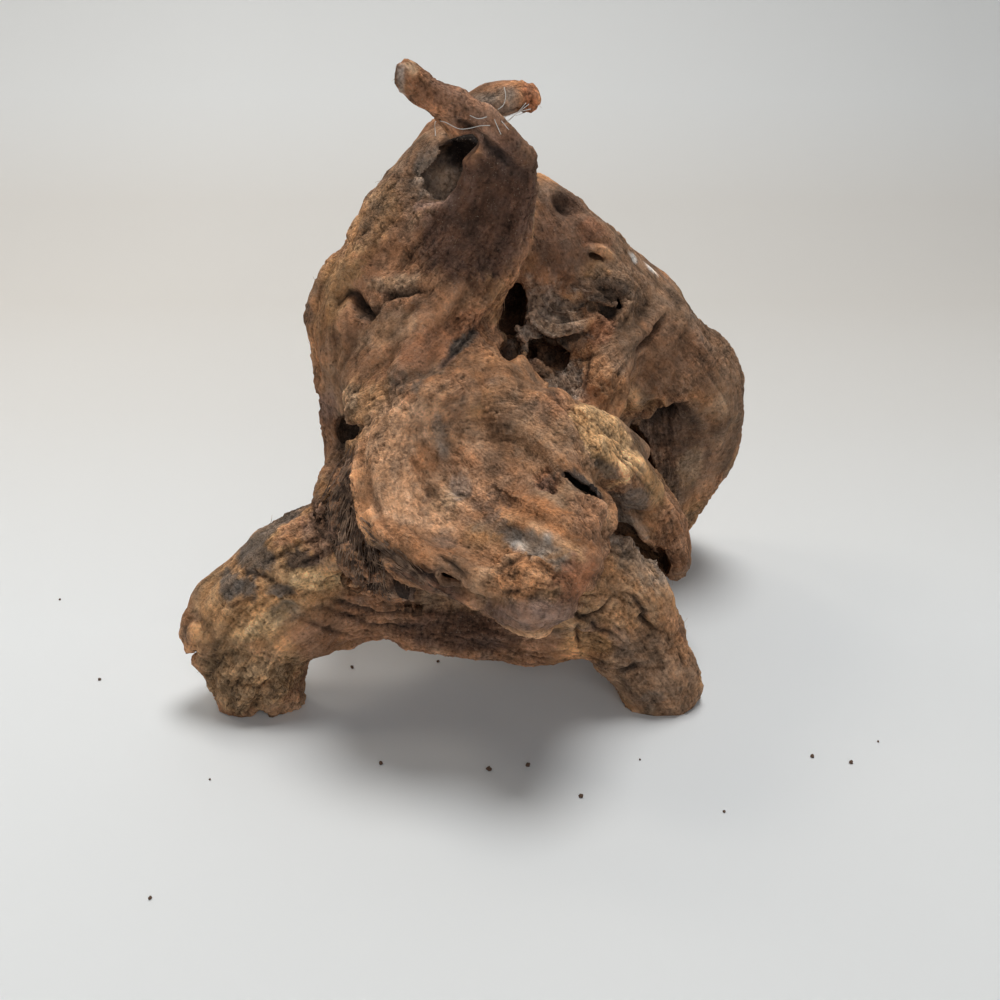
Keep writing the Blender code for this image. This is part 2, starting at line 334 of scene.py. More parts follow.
# Strands and spurs that stand clear of the rough skin: pixels, radii in mm and how far in front
# of the surface each lies in mm. A fourth entry is a pixel whose depth the whole strand takes.
strands = {
    "cavityStrand": ([(517, 326), (522, 338), (525, 350), (523, 362), (518, 374)],
        (1.5, 1.2, 1.1, 1.1, 1.6), -1.5),
    "foldOne": ([(529, 314), (536, 328), (550, 336), (570, 333), (596, 322)],
        (1.8, 1.8, 1.7, 1.7, 1.3), 0.4),
    "foldTwo": ([(532, 302), (541, 317), (556, 325), (578, 322), (600, 312)],
        (1.6, 1.6, 1.6, 1.5, 1.3), 0.6),
    "foldThree": ([(540, 300), (552, 312), (570, 312), (588, 306)], (1.3, 1.5, 1.5, 1.2), 0.2),
    "knotRidge": ([(576, 292), (590, 284), (606, 284), (620, 292)], (1.6, 1.9, 1.9, 1.5), -0.8),
    "knotLip": ([(584, 300), (598, 302), (610, 307), (618, 305)], (1.5, 1.7, 1.7, 1.3), 0.2),
    "pitBrow": ([(582, 250), (594, 247), (606, 251), (614, 260)], (1.3, 1.7, 1.7, 1.2), -0.4),
    "rustRidge": ([(600, 312), (608, 322), (603, 332), (594, 342), (590, 352)],
        (1.4, 1.5, 1.3, 1.1, 0.9), -0.3),
    "lobeArch": ([(642, 415), (652, 410), (664, 404), (676, 400), (688, 397)],
        (2.0, 2.8, 3.0, 2.6, 1.6), -1.2),
    "legSpike": ([(205, 628), (194, 634), (184, 640)], (3.4, 2.6, 1.3), -1.8),
    "toe": ([(268, 676), (280, 688), (290, 700)], (6.0, 5.0, 4.0), -3.5),
    "toeInner": ([(250, 680), (246, 694), (238, 706)], (6.0, 5.5, 5.0), -4.0),
    "rearBar": ([(472, 112), (492, 104), (511, 97), (526, 92)], (4.0, 4.5, 4.7, 4.1), 0.0, (500, 92)),
    "rearEnd": ([(527, 87), (533, 94), (534, 102), (531, 108)], (3.0, 2.4, 1.9, 1.2), 0.0, (500, 92)),
    "rearHook": ([(534, 106), (527, 110), (521, 109)], (1.3, 1.0, 0.6), 0.0, (500, 92)),
    "rimOne": ([(362, 440), (358, 468), (358, 496), (370, 530), (388, 553), (412, 574)],
        (1.4, 1.8, 2.0, 2.4, 2.6, 2.0), 0.2),
    "lipEdge": ([(412, 572), (445, 587), (475, 597), (508, 614), (530, 624), (552, 616), (580, 605)],
        (2.4, 2.6, 2.6, 2.6, 2.8, 2.6, 2.2), -1.6),
    "bandRidge": ([(490, 480), (512, 495), (540, 510), (566, 526), (590, 546)],
        (1.4, 2.4, 2.8, 2.7, 1.8), -0.9),
    "foldStrandOne": ([(346, 470), (340, 495), (338, 520), (338, 548), (345, 575)],
        (1.2, 1.4, 1.3, 1.3, 1.0), 0.3),
    "foldStrandTwo": ([(352, 486), (354, 515), (362, 545), (378, 570), (400, 590)],
        (1.0, 1.2, 1.3, 1.3, 1.0), 0.2),
    "foldStrandThree": ([(334, 470), (328, 500), (326, 530), (328, 560)], (1.2, 1.3, 1.2, 1.0), 0.0),
    "valleyEdge": ([(560, 455), (580, 466), (600, 480), (620, 500), (640, 526), (655, 552)],
        (1.0, 1.5, 1.8, 1.8, 1.5, 1.2), -0.6),
    "hornRoot": ([(466, 108), (484, 121), (502, 136), (518, 152), (532, 168)],
        (3.6, 4.4, 4.4, 4.0, 3.0), -1.6),
    "rimRoll": ([(372, 512), (386, 532), (408, 542), (434, 555), (460, 567), (482, 583)],
        (2.6, 3.4, 3.7, 3.5, 3.2, 2.2), -1.4),
    "slabRidge": ([(493, 576), (508, 563), (524, 556), (540, 555), (549, 566)],
        (1.2, 1.8, 2.2, 2.0, 1.2), 0.0),
    "sideRidge": ([(582, 412), (604, 420), (624, 438), (640, 460), (655, 482)],
        (1.4, 2.0, 2.2, 2.0, 1.6), -1.0),
}

# Beams that fill the creases between limbs: two pixels, radius in mm, how far behind the skin. A
# fifth entry is a pixel whose depth both ends take.
fillers = {
    "neckToTrunkOne": ((425, 350), (412, 432), 11, 9.0),
    "neckToTrunkTwo": ((462, 340), (455, 430), 11, 9.0),
    "neckToTrunkThree": ((492, 372), (505, 440), 10, 8.5),
    "foldFillRim": ((348, 470), (346, 540), 6.0, 11.5, (366, 505)),
    "foldFillRimLow": ((346, 540), (373, 584), 6.0, 11.0, (394, 556)),
    "foldFillHigh": ((344, 452), (330, 520), 8, 5.0),
    "foldFillLow": ((332, 520), (352, 580), 9, 5.0),
    "foldFillFoot": ((352, 575), (404, 602), 7, 5.0),
    "trunkToSideOne": ((530, 402), (612, 446), 9, 8.0),
    "trunkToSideTwo": ((545, 430), (604, 462), 9, 8.5),
    "trunkToSideThree": ((572, 424), (636, 456), 9, 5.5),
    "trunkToSideFour": ((584, 448), (648, 494), 9, 5.0),
}

skinSize = {"voxel": 0.85, "softening": 2, "triangles": 196000}


def unitBall(subdivisions):
    bm = bmesh.new()
    bmesh.ops.create_icosphere(bm, subdivisions=subdivisions, radius=1.0)
    bm.verts.index_update()
    ball = np.array([v.co for v in bm.verts])
    faces = np.array([[v.index for v in face.verts] for face in bm.faces])
    bm.free()
    return ball, faces


def carveHoles(collection):
    for name, (u, v, halfWide, halfHigh, turn, halfDeep, inset) in holes.items():
        hit = pixelHit(u, v)
        ray = pixelRay(u, v)
        scale = (hit - eye) @ lookForward / focal
        angle = math.radians(turn)
        across = lookRight * math.cos(angle) - lookUp * math.sin(angle)
        along = np.cross(across, ray)
        centre = hit + ray * inset * mm
        axes = Matrix((across * halfWide * scale, along * halfHigh * scale,
            ray * halfDeep * mm)).transposed()
        # each point of a ball of radius 1 is scaled by 0.75 to 1.25, then laid along the hole's axes
        ball, faces = unitBall(3)
        ragged = 1 + 0.5 * (cloud(ball @ np.array(axes).T + centre, 5 * mm, 91, 2) - 0.5)
        mesh = meshFrom(name, ball * ragged[:, None] @ np.array(axes).T + centre, faces)
        if axes.determinant() < 0:
            mesh.flip_normals()
        collection.objects.link(bpy.data.objects.new(name, mesh))


def rounded(path, times):
    # each inner point moves to a quarter of its two neighbours plus a half of itself
    for _ in range(times):
        path[1:-1] = (path[:-2] + 2 * path[1:-1] + path[2:]) / 4
    return path


def joinTube(bm, path, radii, sides):
    mesh = meshFrom("tube", *tube(path, radii, sides))
    bm.from_mesh(mesh)
    bpy.data.meshes.remove(mesh)


def addStrands(bm):
    for pixels, radii, front, *anchor in strands.values():
        path = np.array([pixelHit(u, v) - pixelRay(u, v) * front * mm for u, v in pixels])
        if anchor:
            path = pixelsAtDepth(pixels, *anchor)
        steps = np.linspace(0, len(path) - 1, 4 * len(path))
        wide = np.interp(steps, np.arange(len(path)), radii) * mm
        joinTube(bm, rounded(pointsAlong(path, steps), 3), wide, 10)


# Stringy fibres in the fold below the rim, from spots on the first pixel line to spots on the second.
# Radii, bow to the side and how far in front of the skin in mm, spread as a share of the line.
strings = {
    "from": [(357, 446), (357, 480), (358, 508), (368, 536), (386, 560), (410, 580)],
    "to": [(312, 512), (318, 545), (328, 572), (348, 592), (376, 604), (418, 612)],
    "count": 90, "radius": (0.4, 0.75), "spread": 0.06, "bow": 1.4, "front": 0.3, "seed": 17,
}


def addStrings(bm):
    draw = np.random.default_rng(strings["seed"])
    ends = [spotsAlong(strings[key], strings["count"], strings["spread"], draw) for key in ("from",
        "to")]
    bows = draw.normal(0, strings["bow"], strings["count"]) * mm
    t = np.linspace(0, 1, 9)
    for start, end, bow in zip(*ends, bows):
        first, last = (pixelHit(*spot) - pixelRay(*spot) * strings["front"] * mm for spot in (start,
            end))
        path = first + (last - first) * t[:, None] + lookRight * bow * np.sin(math.pi * t)[:, None]
        thinner = 1 - 0.6 * np.abs(2 * t - 1) ** 3    # towards both ends
        joinTube(bm, path, draw.uniform(*strings["radius"]) * mm * thinner, 8)


def addFillers(bm):
    for start, end, radius, inset, *anchor in fillers.values():
        ends = pixelsAtDepth((start, end),
            *anchor) if anchor else np.array([pixelHit(*start), pixelHit(*end)])
        first, last = ends + np.array([pixelRay(*start), pixelRay(*end)]) * inset * mm
        path = first + (last - first) * np.linspace(0, 1, 12)[:, None]
        # thinner towards both ends
        wide = radius * mm * np.sqrt(1 - np.linspace(-0.9, 0.9, 12) ** 2 * 0.6)
        joinTube(bm, path, wide, 20)


def evaluatedCopy(obj, name):
    graph = bpy.context.evaluated_depsgraph_get()
    mesh = bpy.data.meshes.new_from_object(obj.evaluated_get(graph))
    mesh.name = name
    return mesh


def makeFineSkin():
    scene = bpy.context.scene
    cutters = bpy.data.collections.new("carvers")
    scene.collection.children.link(cutters)
    carveHoles(cutters)
    carved = bpy.data.objects.new("carvedSkin", roughMesh)
    scene.collection.objects.link(carved)
    carve = carved.modifiers.new("carve", "BOOLEAN")
    carve.operation = "DIFFERENCE"
    carve.operand_type = "COLLECTION"
    carve.collection = cutters
    bm = bmesh.new()
    bm.from_mesh(evaluatedCopy(carved, "carvedMesh"))
    addStrands(bm)
    addFillers(bm)
    addStrings(bm)
    joined = bpy.data.meshes.new("joinedSkin")
    bm.to_mesh(joined)
    bm.free()
    carved.modifiers.clear()
    carved.data = joined
    fuse = carved.modifiers.new("fuse", "REMESH")
    fuse.mode = "VOXEL"
    fuse.voxel_size = skinSize["voxel"] * mm
    soften = carved.modifiers.new("soften", "SMOOTH")
    soften.factor = 0.5
    soften.iterations = skinSize["softening"]
    fine = evaluatedCopy(carved, "fineSkin")
    for cutter in list(cutters.objects):
        bpy.data.objects.remove(cutter)
    bpy.data.collections.remove(cutters)
    bpy.data.objects.remove(carved)
    return fine


fineMesh = makeFineSkin()
pointCount = len(fineMesh.vertices)
points = pointsOf(fineMesh)
edges = np.zeros(len(fineMesh.edges) * 2, int)
fineMesh.edges.foreach_get("vertices", edges)
edgeA, edgeB = edges.reshape(-1, 2).T
quads = np.zeros(len(fineMesh.loops), int)
fineMesh.loops.foreach_get("vertex_index", quads)
quads = quads.reshape(-1, 4)
edgeCount = np.bincount(edgeA, minlength=pointCount) + np.bincount(edgeB, minlength=pointCount)
report(f"fine skin: {pointCount} points, {len(quads)} faces")


def surfaceNormals(where):
    # each face's diagonals crossed, added up at its corners and made one unit long
    flat = np.cross(where[quads[:, 2]] - where[quads[:, 0]], where[quads[:, 3]] - where[quads[:, 1]])
    total = np.zeros_like(where)
    for axis in range(3):
        for corner in range(4):
            total[:, axis] += np.bincount(quads[:, corner], flat[:, axis], pointCount)
    return total / np.maximum(np.linalg.norm(total, axis=1), 1e-12)[:, None]


def evened(values, times):
    # each point's value moves half way to the mean of its neighbours' values
    values = values.reshape(pointCount, -1).astype(float)
    for _ in range(times):
        for column in values.T:
            total = np.bincount(edgeA, column[edgeB], pointCount) + np.bincount(edgeB, column[edgeA],
                pointCount)
            column += (total / edgeCount - column) / 2
    return values[:, 0] if values.shape[1] == 1 else values


normals = surfaceNormals(points)
pixels = toPixels(points)
# from here on, pixels meet the fine skin
findSurface = BVHTree.FromPolygons(points.tolist(), quads.tolist())

# The way the grain runs

# The limbs' middle lines, in mm from the origin, for the sides that the photograph hides.
limbLines = {
    "trunk": [(1, 5, 172), (-23, 0, 134), (-24, -12, 105), (-1, -42, 87), (8, -63, 78), (22, -92, 72)],
    "shoulder": [(-19, 23, 179), (-35, 15, 149), (-43, 5, 110), (-45, -5, 72), (-47, -17, 60)],
    "leftLeg": [(-20, -25, 52), (-47, -35, 50), (-67, -42, 45), (-82, -46, 31), (-83, -48, 0)],
    "rightLeg": [(0, -36, 60), (28, -37, 51), (42, -42, 37), (53, -45, 22), (62, -46, 0)],
    "belly": [(-39, -33, 44), (9, -43, 38), (33, -45, 38)],
    "sideLimb": [(9, -11, 93), (31, -14, 87), (44, -13, 74), (56, -11, 59), (70, -7, 33)],
    "rearMass": [(9, 31, 163), (20, 37, 149), (36, 45, 126), (54, 51, 104), (67, 55, 80), (71, 59, 56),
        (64, 71, 0)],
    "backRoot": [(-5, 37, 144), (-11, 49, 116), (-22, 60, 90), (-31, 67, 68), (-36, 71, 54)],
    "core": [(-9, 21, 164), (-5, 25, 146), (3, 30, 122), (7, 25, 72)],
    "horn": [(7, 1, 170), (4, -5, 182), (-6, -11, 194), (-17, -16, 204), (-27, -20, 212)],
    "rearStub": [(-21, 29, 182), (-9, 37, 192), (3, 41, 196), (13, 43, 198)],
}

# Lines along the grain that the photograph shows, in its pixels.
grainLines = {
    "horn": [(402, 66), (430, 88), (465, 110), (500, 132), (525, 160)],
    "neckRight": [(528, 175), (520, 210), (512, 250), (505, 280)],
    "neckMiddle": [(500, 140), (490, 180), (475, 220), (450, 260), (420, 300)],
    "neckLeft": [(480, 160), (465, 200), (440, 240), (400, 270)],
    "shoulder": [(395, 170), (375, 200), (350, 250), (330, 290), (320, 330), (325, 380)],
    "sweepHigh": [(505, 255), (460, 280), (420, 310), (380, 345), (350, 380)],
    "sweepMiddle": [(498, 308), (470, 335), (430, 375), (390, 400), (365, 412)],
    "sweepLow": [(500, 372), (460, 385), (420, 402), (385, 440), (365, 480), (365, 520)],
    "underCavity": [(458, 392), (500, 378), (540, 393), (575, 420), (600, 450)],
    "trunkRight": [(470, 410), (520, 415), (556, 445), (585, 485), (602, 520)],
    "trunkTop": [(420, 440), (450, 480), (500, 515), (560, 540), (600, 560)],
    "trunkLeft": [(390, 440), (375, 490), (395, 535), (440, 560), (490, 590)],
    "lowerRim": [(355, 460), (355, 500), (375, 540), (420, 575), (470, 600), (530, 622)],
    "lip": [(480, 610), (540, 622), (600, 598)],
    "legTop": [(310, 515), (260, 545), (215, 590), (192, 630)],
    "legMiddle": [(333, 565), (290, 580), (240, 610), (210, 650)],
    "archHigh": [(430, 603), (380, 606), (330, 612), (280, 645), (252, 695)],
    "archLow": [(500, 652), (430, 638), (380, 630), (335, 640), (300, 665), (282, 700)],
    "rightLeg": [(585, 560), (620, 595), (660, 650), (688, 700)],
    "rightToe": [(500, 648), (560, 655), (620, 672), (655, 705)],
    "valley": [(560, 470), (605, 505), (640, 555), (662, 592)],
    "sideLimb": [(575, 412), (610, 435), (640, 470), (670, 510), (682, 560)],
    "fold": [(345, 455), (340, 510), (335, 550)],
    "foldRight": [(352, 480), (357, 530), (380, 575)],
    "rearTop": [(545, 180), (600, 230), (650, 280), (700, 330), (735, 380)],
    "rearFace": [(560, 215), (590, 262), (630, 310), (670, 350), (712, 400)],
    "rearEdge": [(738, 380), (735, 430), (715, 480)],
    "swirl": [(529, 316), (540, 334), (565, 336), (594, 324)],
    "swirlOuter": [(535, 285), (548, 308), (570, 318), (590, 310)],
    "greyWall": [(556, 365), (565, 385), (575, 405)],
    "lobe": [(640, 350), (625, 375), (600, 400)],
}


def followLine(line, reach):
    # distance to the nearest of the line's pieces, that piece's direction, and how far along it
    # lies, for the points within reach of the line's box; the others stay far away
    close = np.flatnonzero(np.all((points > line.min(0) - reach) & (points < line.max(0) + reach), 1))
    near = points[close]
    nearest = np.full(len(near), 1e9)
    direction = np.zeros((len(near), 3))
    travelled = np.zeros(len(near))
    before = 0.0
    for start, end in zip(line[:-1], line[1:]):
        length = np.linalg.norm(end - start)
        if length < 1e-6:
            continue
        way = (end - start) / length
        along = np.clip((near - start) @ way, 0, length)
        away = np.linalg.norm(near - start - along[:, None] * way, axis=1)
        closer = away < nearest
        nearest[closer] = away[closer]
        direction[closer] = way
        travelled[closer] = before + along[closer]
        before += length
    return close, nearest, direction, travelled


def onSkin(pixelLine, pieces=4):
    # a pixel line laid on the skin, with each stretch cut in a few pieces
    steps = np.linspace(0, len(pixelLine) - 1, pieces * (len(pixelLine) - 1) + 1)
    return np.array([pixelHit(u, v) for u, v in pointsAlong(pixelLine, steps)])


grain = {"limbReach": 22.0, "lineReach": 8.0, "lineWeight": 6.0, "evening": 14}


def grainField():
    # Near each line the grain follows it: the sum over all lines of weight * outer(way, way), with
    # weight exp(-(distance / reach)^2). The grain is that sum's longest axis, laid flat on the skin.
    spread = np.zeros((pointCount, 3, 3))
    signed = np.zeros((pointCount, 3))
    limbReach, lineReach = grain["limbReach"] * mm, grain["lineReach"] * mm
    for line in limbLines.values():
        close, away, way, _ = followLine(np.array(line) * mm, 1.0)
        weight = 0.02 + np.exp(-((away / limbReach) ** 2))
        spread[close] += weight[:, None, None] * way[:, :, None] * way[:, None, :]
        signed[close] += weight[:, None] * way
    for line in grainLines.values():
        close, away, way, _ = followLine(onSkin(line), 2.5 * lineReach)
        weight = grain["lineWeight"] * np.exp(-((away / lineReach) ** 2))
        spread[close] += weight[:, None, None] * way[:, :, None] * way[:, None, :]
        signed[close] += weight[:, None] * way
    flat = np.eye(3) - normals[:, :, None] * normals[:, None, :]
    spread = flat @ spread @ flat
    spread /= np.trace(spread, axis1=1, axis2=2)[:, None, None] + 1e-9
    spread = evened(spread.reshape(-1, 9), grain["evening"]).reshape(-1, 3, 3)
    spread = flat @ spread @ flat
    way = np.linalg.eigh(spread)[1][:, :, 2]
    way -= normals * (way * normals).sum(1)[:, None]
    way /= np.linalg.norm(way, axis=1)[:, None] + 1e-9
    return way * np.where((way * signed).sum(1) < 0, -1.0, 1.0)[:, None]


grainWay = grainField()
report("grain field")


def nearestPointGrid(cell):
    # a box of cells over the skin: each cell holds the number of a skin point in it or beside it
    low = points.min(0) - 3 * cell
    size = np.ceil((points.max(0) - low) / cell).astype(int) + 4
    grid = np.full(size, -1, np.int32)
    i, j, k = ((points - low) / cell).astype(int).T
    grid[i, j, k] = np.arange(pointCount)
    for _ in range(2):
        for axis in range(3):
            for shift in (1, -1):
                beside = np.roll(grid, shift, axis)
                grid = np.where(grid < 0, beside, grid)
    return grid, low, size


lookupCell = 1.0 * mm
lookupGrid, lookupLow, lookupSize = nearestPointGrid(lookupCell)


def pointAt(where):
    i, j, k = np.clip(((where - lookupLow) / lookupCell).astype(int), 0, lookupSize - 1).T
    return lookupGrid[i, j, k]


def smeared(values, length, stride=0.8 * mm):
    # the mean of the values met on a walk along the grain, both ways from each point
    steps = max(int(length / 2 / stride), 1)
    total = values.copy()
    share = np.ones(pointCount)
    for sense in (1.0, -1.0):
        spot = points.copy()
        way = grainWay * sense
        for step in range(steps):
            spot = spot + way * stride
            here = pointAt(spot)
            lost = here < 0
            here[lost] = 0
            spot -= normals[here] * ((spot - points[here]) * normals[here]).sum(1)[:, None]
            new = grainWay[here]
            way = new * np.where((new * way).sum(1) < 0, -1.0, 1.0)[:, None]
            weight = np.where(lost, 0.0, 1 - step / steps)
            total += values[here] * weight
            share += weight
    return total / share


def stretched(values):
    # spread so that most values lie between 0 and 1
    low, high = np.percentile(values, (4, 96))
    return np.clip((values - low) / (high - low), -0.3, 1.3)


fibre = {"coarse": (7.5, 45.0), "middle": (3.6, 26.0), "fine": (1.7, 12.0)}   # width and length in mm
coarseFibre = stretched(smeared(cloud(points, fibre["coarse"][0] * mm, 11), fibre["coarse"][1] * mm,
    1.6 * mm))
middleFibre = stretched(smeared(cloud(points, fibre["middle"][0] * mm, 21), fibre["middle"][1] * mm))
fineFibre = stretched(smeared(np.random.default_rng(31).random(pointCount), fibre["fine"][1] * mm))
report("fibres")


def spotWeight(u, v, halfWide, halfHigh, turn=0.0, reach=14.0, ragged=0.0, edge=0.35):
    # 1 inside an oval round the pixel's point on the skin and 0 outside it. The oval is measured
    # in the picture's plane and reaches some mm in depth, so nothing behind it is touched.
    hit = pixelHit(u, v)
    scale = (hit - eye) @ lookForward / focal
    angle = math.radians(turn)
    across = lookRight * math.cos(angle) - lookUp * math.sin(angle)
    along = lookRight * math.sin(angle) + lookUp * math.cos(angle)
    size = 2.2 * max(halfWide * scale, halfHigh * scale, reach * mm)
    close = np.flatnonzero(np.all(np.abs(points - hit) < size, 1))
    away = points[close] - hit
    q = np.sqrt((away @ across / (halfWide * scale)) ** 2 + (away @ along / (halfHigh * scale)) ** 2
                + (away @ lookForward / (reach * mm)) ** 2)
    if ragged:
        q = q + ragged * (raggedNoise[close] - 0.5) * 2
    weight = np.zeros(pointCount)
    weight[close] = stepUp(q, 1 + edge, 1 - edge)
    return weight


raggedNoise = 0.5 * cloud(points, 3.4 * mm, 41, 2) + 0.5 * cloud(points, 1.2 * mm, 44)
raggedNoise += 0.3 * middleFibre - 0.15

# The sculpted shape

# Grooves: pixels, width in mm, depth in mm. They deepen towards the middle of the line.
grooves = {
    "lipCrease": ([(335, 314), (338, 302), (346, 292), (355, 295), (361, 307), (370, 316), (384, 309)],
        1.9, 5.6),
    "flakyCrevice": ([(374, 286), (388, 294), (400, 292), (412, 289), (430, 291)], 1.7, 4.6),
    "sweepCrack": ([(427, 380), (440, 368), (452, 352), (474, 330), (490, 314), (498, 304)], 0.8, 1.2),
    "valleyCrack": ([(556, 468), (568, 474), (577, 481), (590, 490), (598, 497), (606, 507)], 1.5, 2.2),
    "slit": ([(636, 349), (646, 338), (655, 327), (663, 313)], 1.4, 5.4),
    "stubCrack": ([(415, 562), (430, 569), (445, 572)], 1.2, 2.4),
    "stubCrackTwo": ([(438, 555), (450, 562), (468, 580)], 1.0, 1.8),
    "legCrackOne": ([(618, 592), (628, 593), (635, 597), (640, 605), (645, 612), (641, 618),
        (650, 625), (662, 633)], 0.9, 2.8),
    "legCrackTwo": ([(573, 610), (578, 618), (590, 618), (602, 612), (608, 602), (616, 595)], 0.9, 2.8),
    "legCrackThree": ([(591, 620), (597, 631), (608, 633), (616, 637)], 0.8, 2.2),
    "legCrackFour": ([(577, 619), (578, 636), (580, 652)], 0.8, 2.2),
    "legSlit": ([(612, 672), (622, 674), (632, 670), (645, 665)], 1.2, 2.6),
    "legSideCrack": ([(680, 652), (684, 660), (686, 668)], 0.7, 1.4),
    "legUpper": ([(577, 600), (590, 605), (600, 602)], 0.7, 1.2),
    "archStrataOne": ([(318, 592), (345, 604), (385, 612), (430, 612)], 1.1, 1.5),
    "archStrataTwo": ([(300, 606), (325, 608), (360, 620), (400, 626), (440, 628)], 1.0, 1.2),
    "archStrataThree": ([(290, 618), (310, 622), (330, 630), (360, 636)], 0.9, 0.8),
    "legFlakeOne": ([(222, 608), (245, 600), (262, 590)], 0.9, 1.0),
    "legFlakeTwo": ([(236, 575), (250, 572), (268, 577), (288, 590)], 1.0, 1.2),
    "hornUnder": ([(440, 118), (462, 124), (482, 140), (502, 158), (522, 176)], 1.6, 2.2),
    "rollUnder": ([(356, 524), (374, 548), (398, 563), (420, 577), (450, 584), (480, 597)], 1.8, 3.6),
    "rimUnder": ([(350, 455), (346, 480), (347, 508), (358, 538), (376, 564), (402, 588), (440, 604)],
        2.6, 4.5),
    "rimInner": ([(374, 450), (369, 475), (371, 500), (384, 525), (404, 545)], 1.4, 0.7),
    "frontRim": ([(497, 578), (505, 566), (520, 558), (536, 556)], 1.0, 1.0),
    "frontSlit": ([(500, 592), (512, 592), (524, 588)], 0.9, 1.6),
    "swirlOne": ([(528, 322), (536, 334), (552, 342), (572, 340), (592, 330)], 1.2, 2.0),
    "swirlTwo": ([(533, 300), (541, 314), (556, 322), (578, 318), (596, 312)], 1.0, 1.6),
    "knotUnder": ([(585, 301), (600, 306), (612, 314), (619, 306), (622, 292)], 1.3, 2.6),
    "rustRidge": ([(600, 330), (594, 342), (590, 352)], 0.9, 1.0),
    "lobeUnder": ([(638, 427), (648, 423), (660, 416), (674, 410), (690, 406)], 3.0, 4.6),
    "wallLine": ([(588, 350), (590, 372), (582, 398)], 1.2, 1.4),
    "sideLimbOne": ([(585, 414), (606, 430), (625, 455), (650, 482)], 0.8, 0.9),
    "sideLimbTwo": ([(592, 428), (610, 446), (632, 470), (660, 500)], 0.8, 0.9),
    "pocketRim": ([(418, 168), (430, 190), (448, 205), (464, 190)], 1.6, 0.8),
}

# Swells and dents: pixel, half sizes in pixels, turn, height in mm. Dents have a minus sign.
swells = {
    "knot": (602, 292, 24, 14, 12, 1.2),
    "lipBulge": (350, 322, 16, 26, 30, 2.2),
    "lipHollow": (366, 300, 14, 12, 30, -1.6),
    "shoulderDent": (385, 258, 22, 16, 20, -1.8),
    "shoulderRise": (362, 228, 14, 30, 22, 1.4),
    "neckSweep": (440, 300, 60, 14, -55, 1.6),
    "neckSide": (475, 290, 40, 12, -55, -1.4),
    "trunkFlat": (480, 470, 66, 50, 20, -3.0),
    "trunkSaddle": (436, 396, 62, 20, -14, 2.0),
    "rightCheek": (588, 514, 20, 26, 40, 1.6),
    "cheekGap": (596, 478, 8, 26, -50, -1.0),
    "frontSlab": (520, 578, 24, 12, -20, 1.2),
    "bandBelow": (540, 545, 36, 9, 28, -1.6),
    "lowerLip": (540, 612, 42, 13, 0, 2.0),
    "pocketFloor": (442, 186, 20, 24, 25, 1.6),
    "neckHollow": (488, 220, 28, 46, 20, -3.0),
    "neckEdge": (522, 190, 9, 40, 8, 1.4),
    "valley": (635, 545, 20, 46, -38, -5.0),
    "legDish": (284, 612, 15, 9, -20, -1.4),
    "legPlate": (312, 580, 22, 9, 5, 1.2),
    "legHollow": (342, 582, 24, 12, 8, -2.2),
    "lobeFold": (668, 330, 10, 30, 38, 1.6),
    "underStub": (450, 615, 50, 14, 10, -2.5),
    "footHeel": (240, 684, 34, 22, 0, 1.6),
    "footDent": (226, 660, 26, 8, -10, -1.4),
    "wallDent": (566, 382, 14, 22, 0, -1.8),
    "rearRidge": (646, 330, 34, 8, -48, 1.8),
    "rearGroove": (632, 320, 30, 7, -48, -1.6),
    "rearWave": (700, 350, 30, 9, 60, 1.2),
    "rearLow": (600, 375, 14, 24, 20, 1.6),
    "crestDent": (564, 206, 18, 8, 20, -1.6),
    "crestRise": (592, 228, 16, 8, 40, 1.4),
}

# Rough places: pixel, half sizes in pixels, turn and how crumbly they are.
crumblyPlaces = {
    "fold": (338, 505, 22, 55, 0, 1.0),
    "foldFoot": (372, 570, 30, 26, 30, 0.9),
    "legShoulder": (318, 530, 26, 32, -20, 0.9),
    "foot": (248, 680, 56, 34, -10, 0.8),
    "legMiddle": (260, 585, 60, 30, -30, 0.5),
    "underStub": (455, 625, 60, 26, 8, 0.7),
    "crevice": (394, 290, 28, 18, 0, 0.7),
    "scab": (372, 313, 14, 12, 0, 0.7),
    "notchEdge": (352, 400, 16, 16, 0, 0.8),
    "porous": (546, 478, 14, 14, 0, 1.0),
    "cheek": (588, 515, 24, 26, 30, 0.5),
    "rightLeg": (620, 640, 55, 50, 0, 0.6),
    "sideEnd": (674, 540, 24, 42, 0, 0.6),
    "wall": (566, 385, 18, 26, 0, 0.8),
    "cavity": (545, 325, 50, 40, 0, 0.7),
    "greyScab": (462, 343, 16, 10, -45, 0.8),
    "frontFace": (530, 575, 55, 28, 0, 0.6),
    "knot": (600, 292, 26, 18, 0, 0.6),
    "stubTop": (460, 490, 60, 50, 0, 0.25),
    "rearStubEnd": (528, 100, 12, 16, 0, 0.8),
    "hornTip": (402, 72, 10, 18, 0, 0.6),
}

# Calmer places: pixel, half sizes in pixels, turn, depth in mm, how much calmer, softness of the edge.
calmPlaces = {
    "horn": (458, 104, 84, 30, 35, 30, 0.7, 0.35),
    "trunkTop": (440, 480, 90, 70, 30, 40, 0.45, 0.5),
}

relief = {
    # heights in mm, then the sizes of the patterns in mm
    "coarse": 2.6, "ropes": 1.3, "middle": 1.0, "fine": 0.42, "lumps": 2.0, "flakes": 0.9, "crumble": 2.1,
    "ropeSize": 16, "lumpSize": 10, "plateSize": 8, "crumbSize": 4.2, "plates": 5, "neckCalm": 0.45,
    "hiddenCrumble": 0.6, "hiddenSize": 22, "floorGuard": 6.0,
}


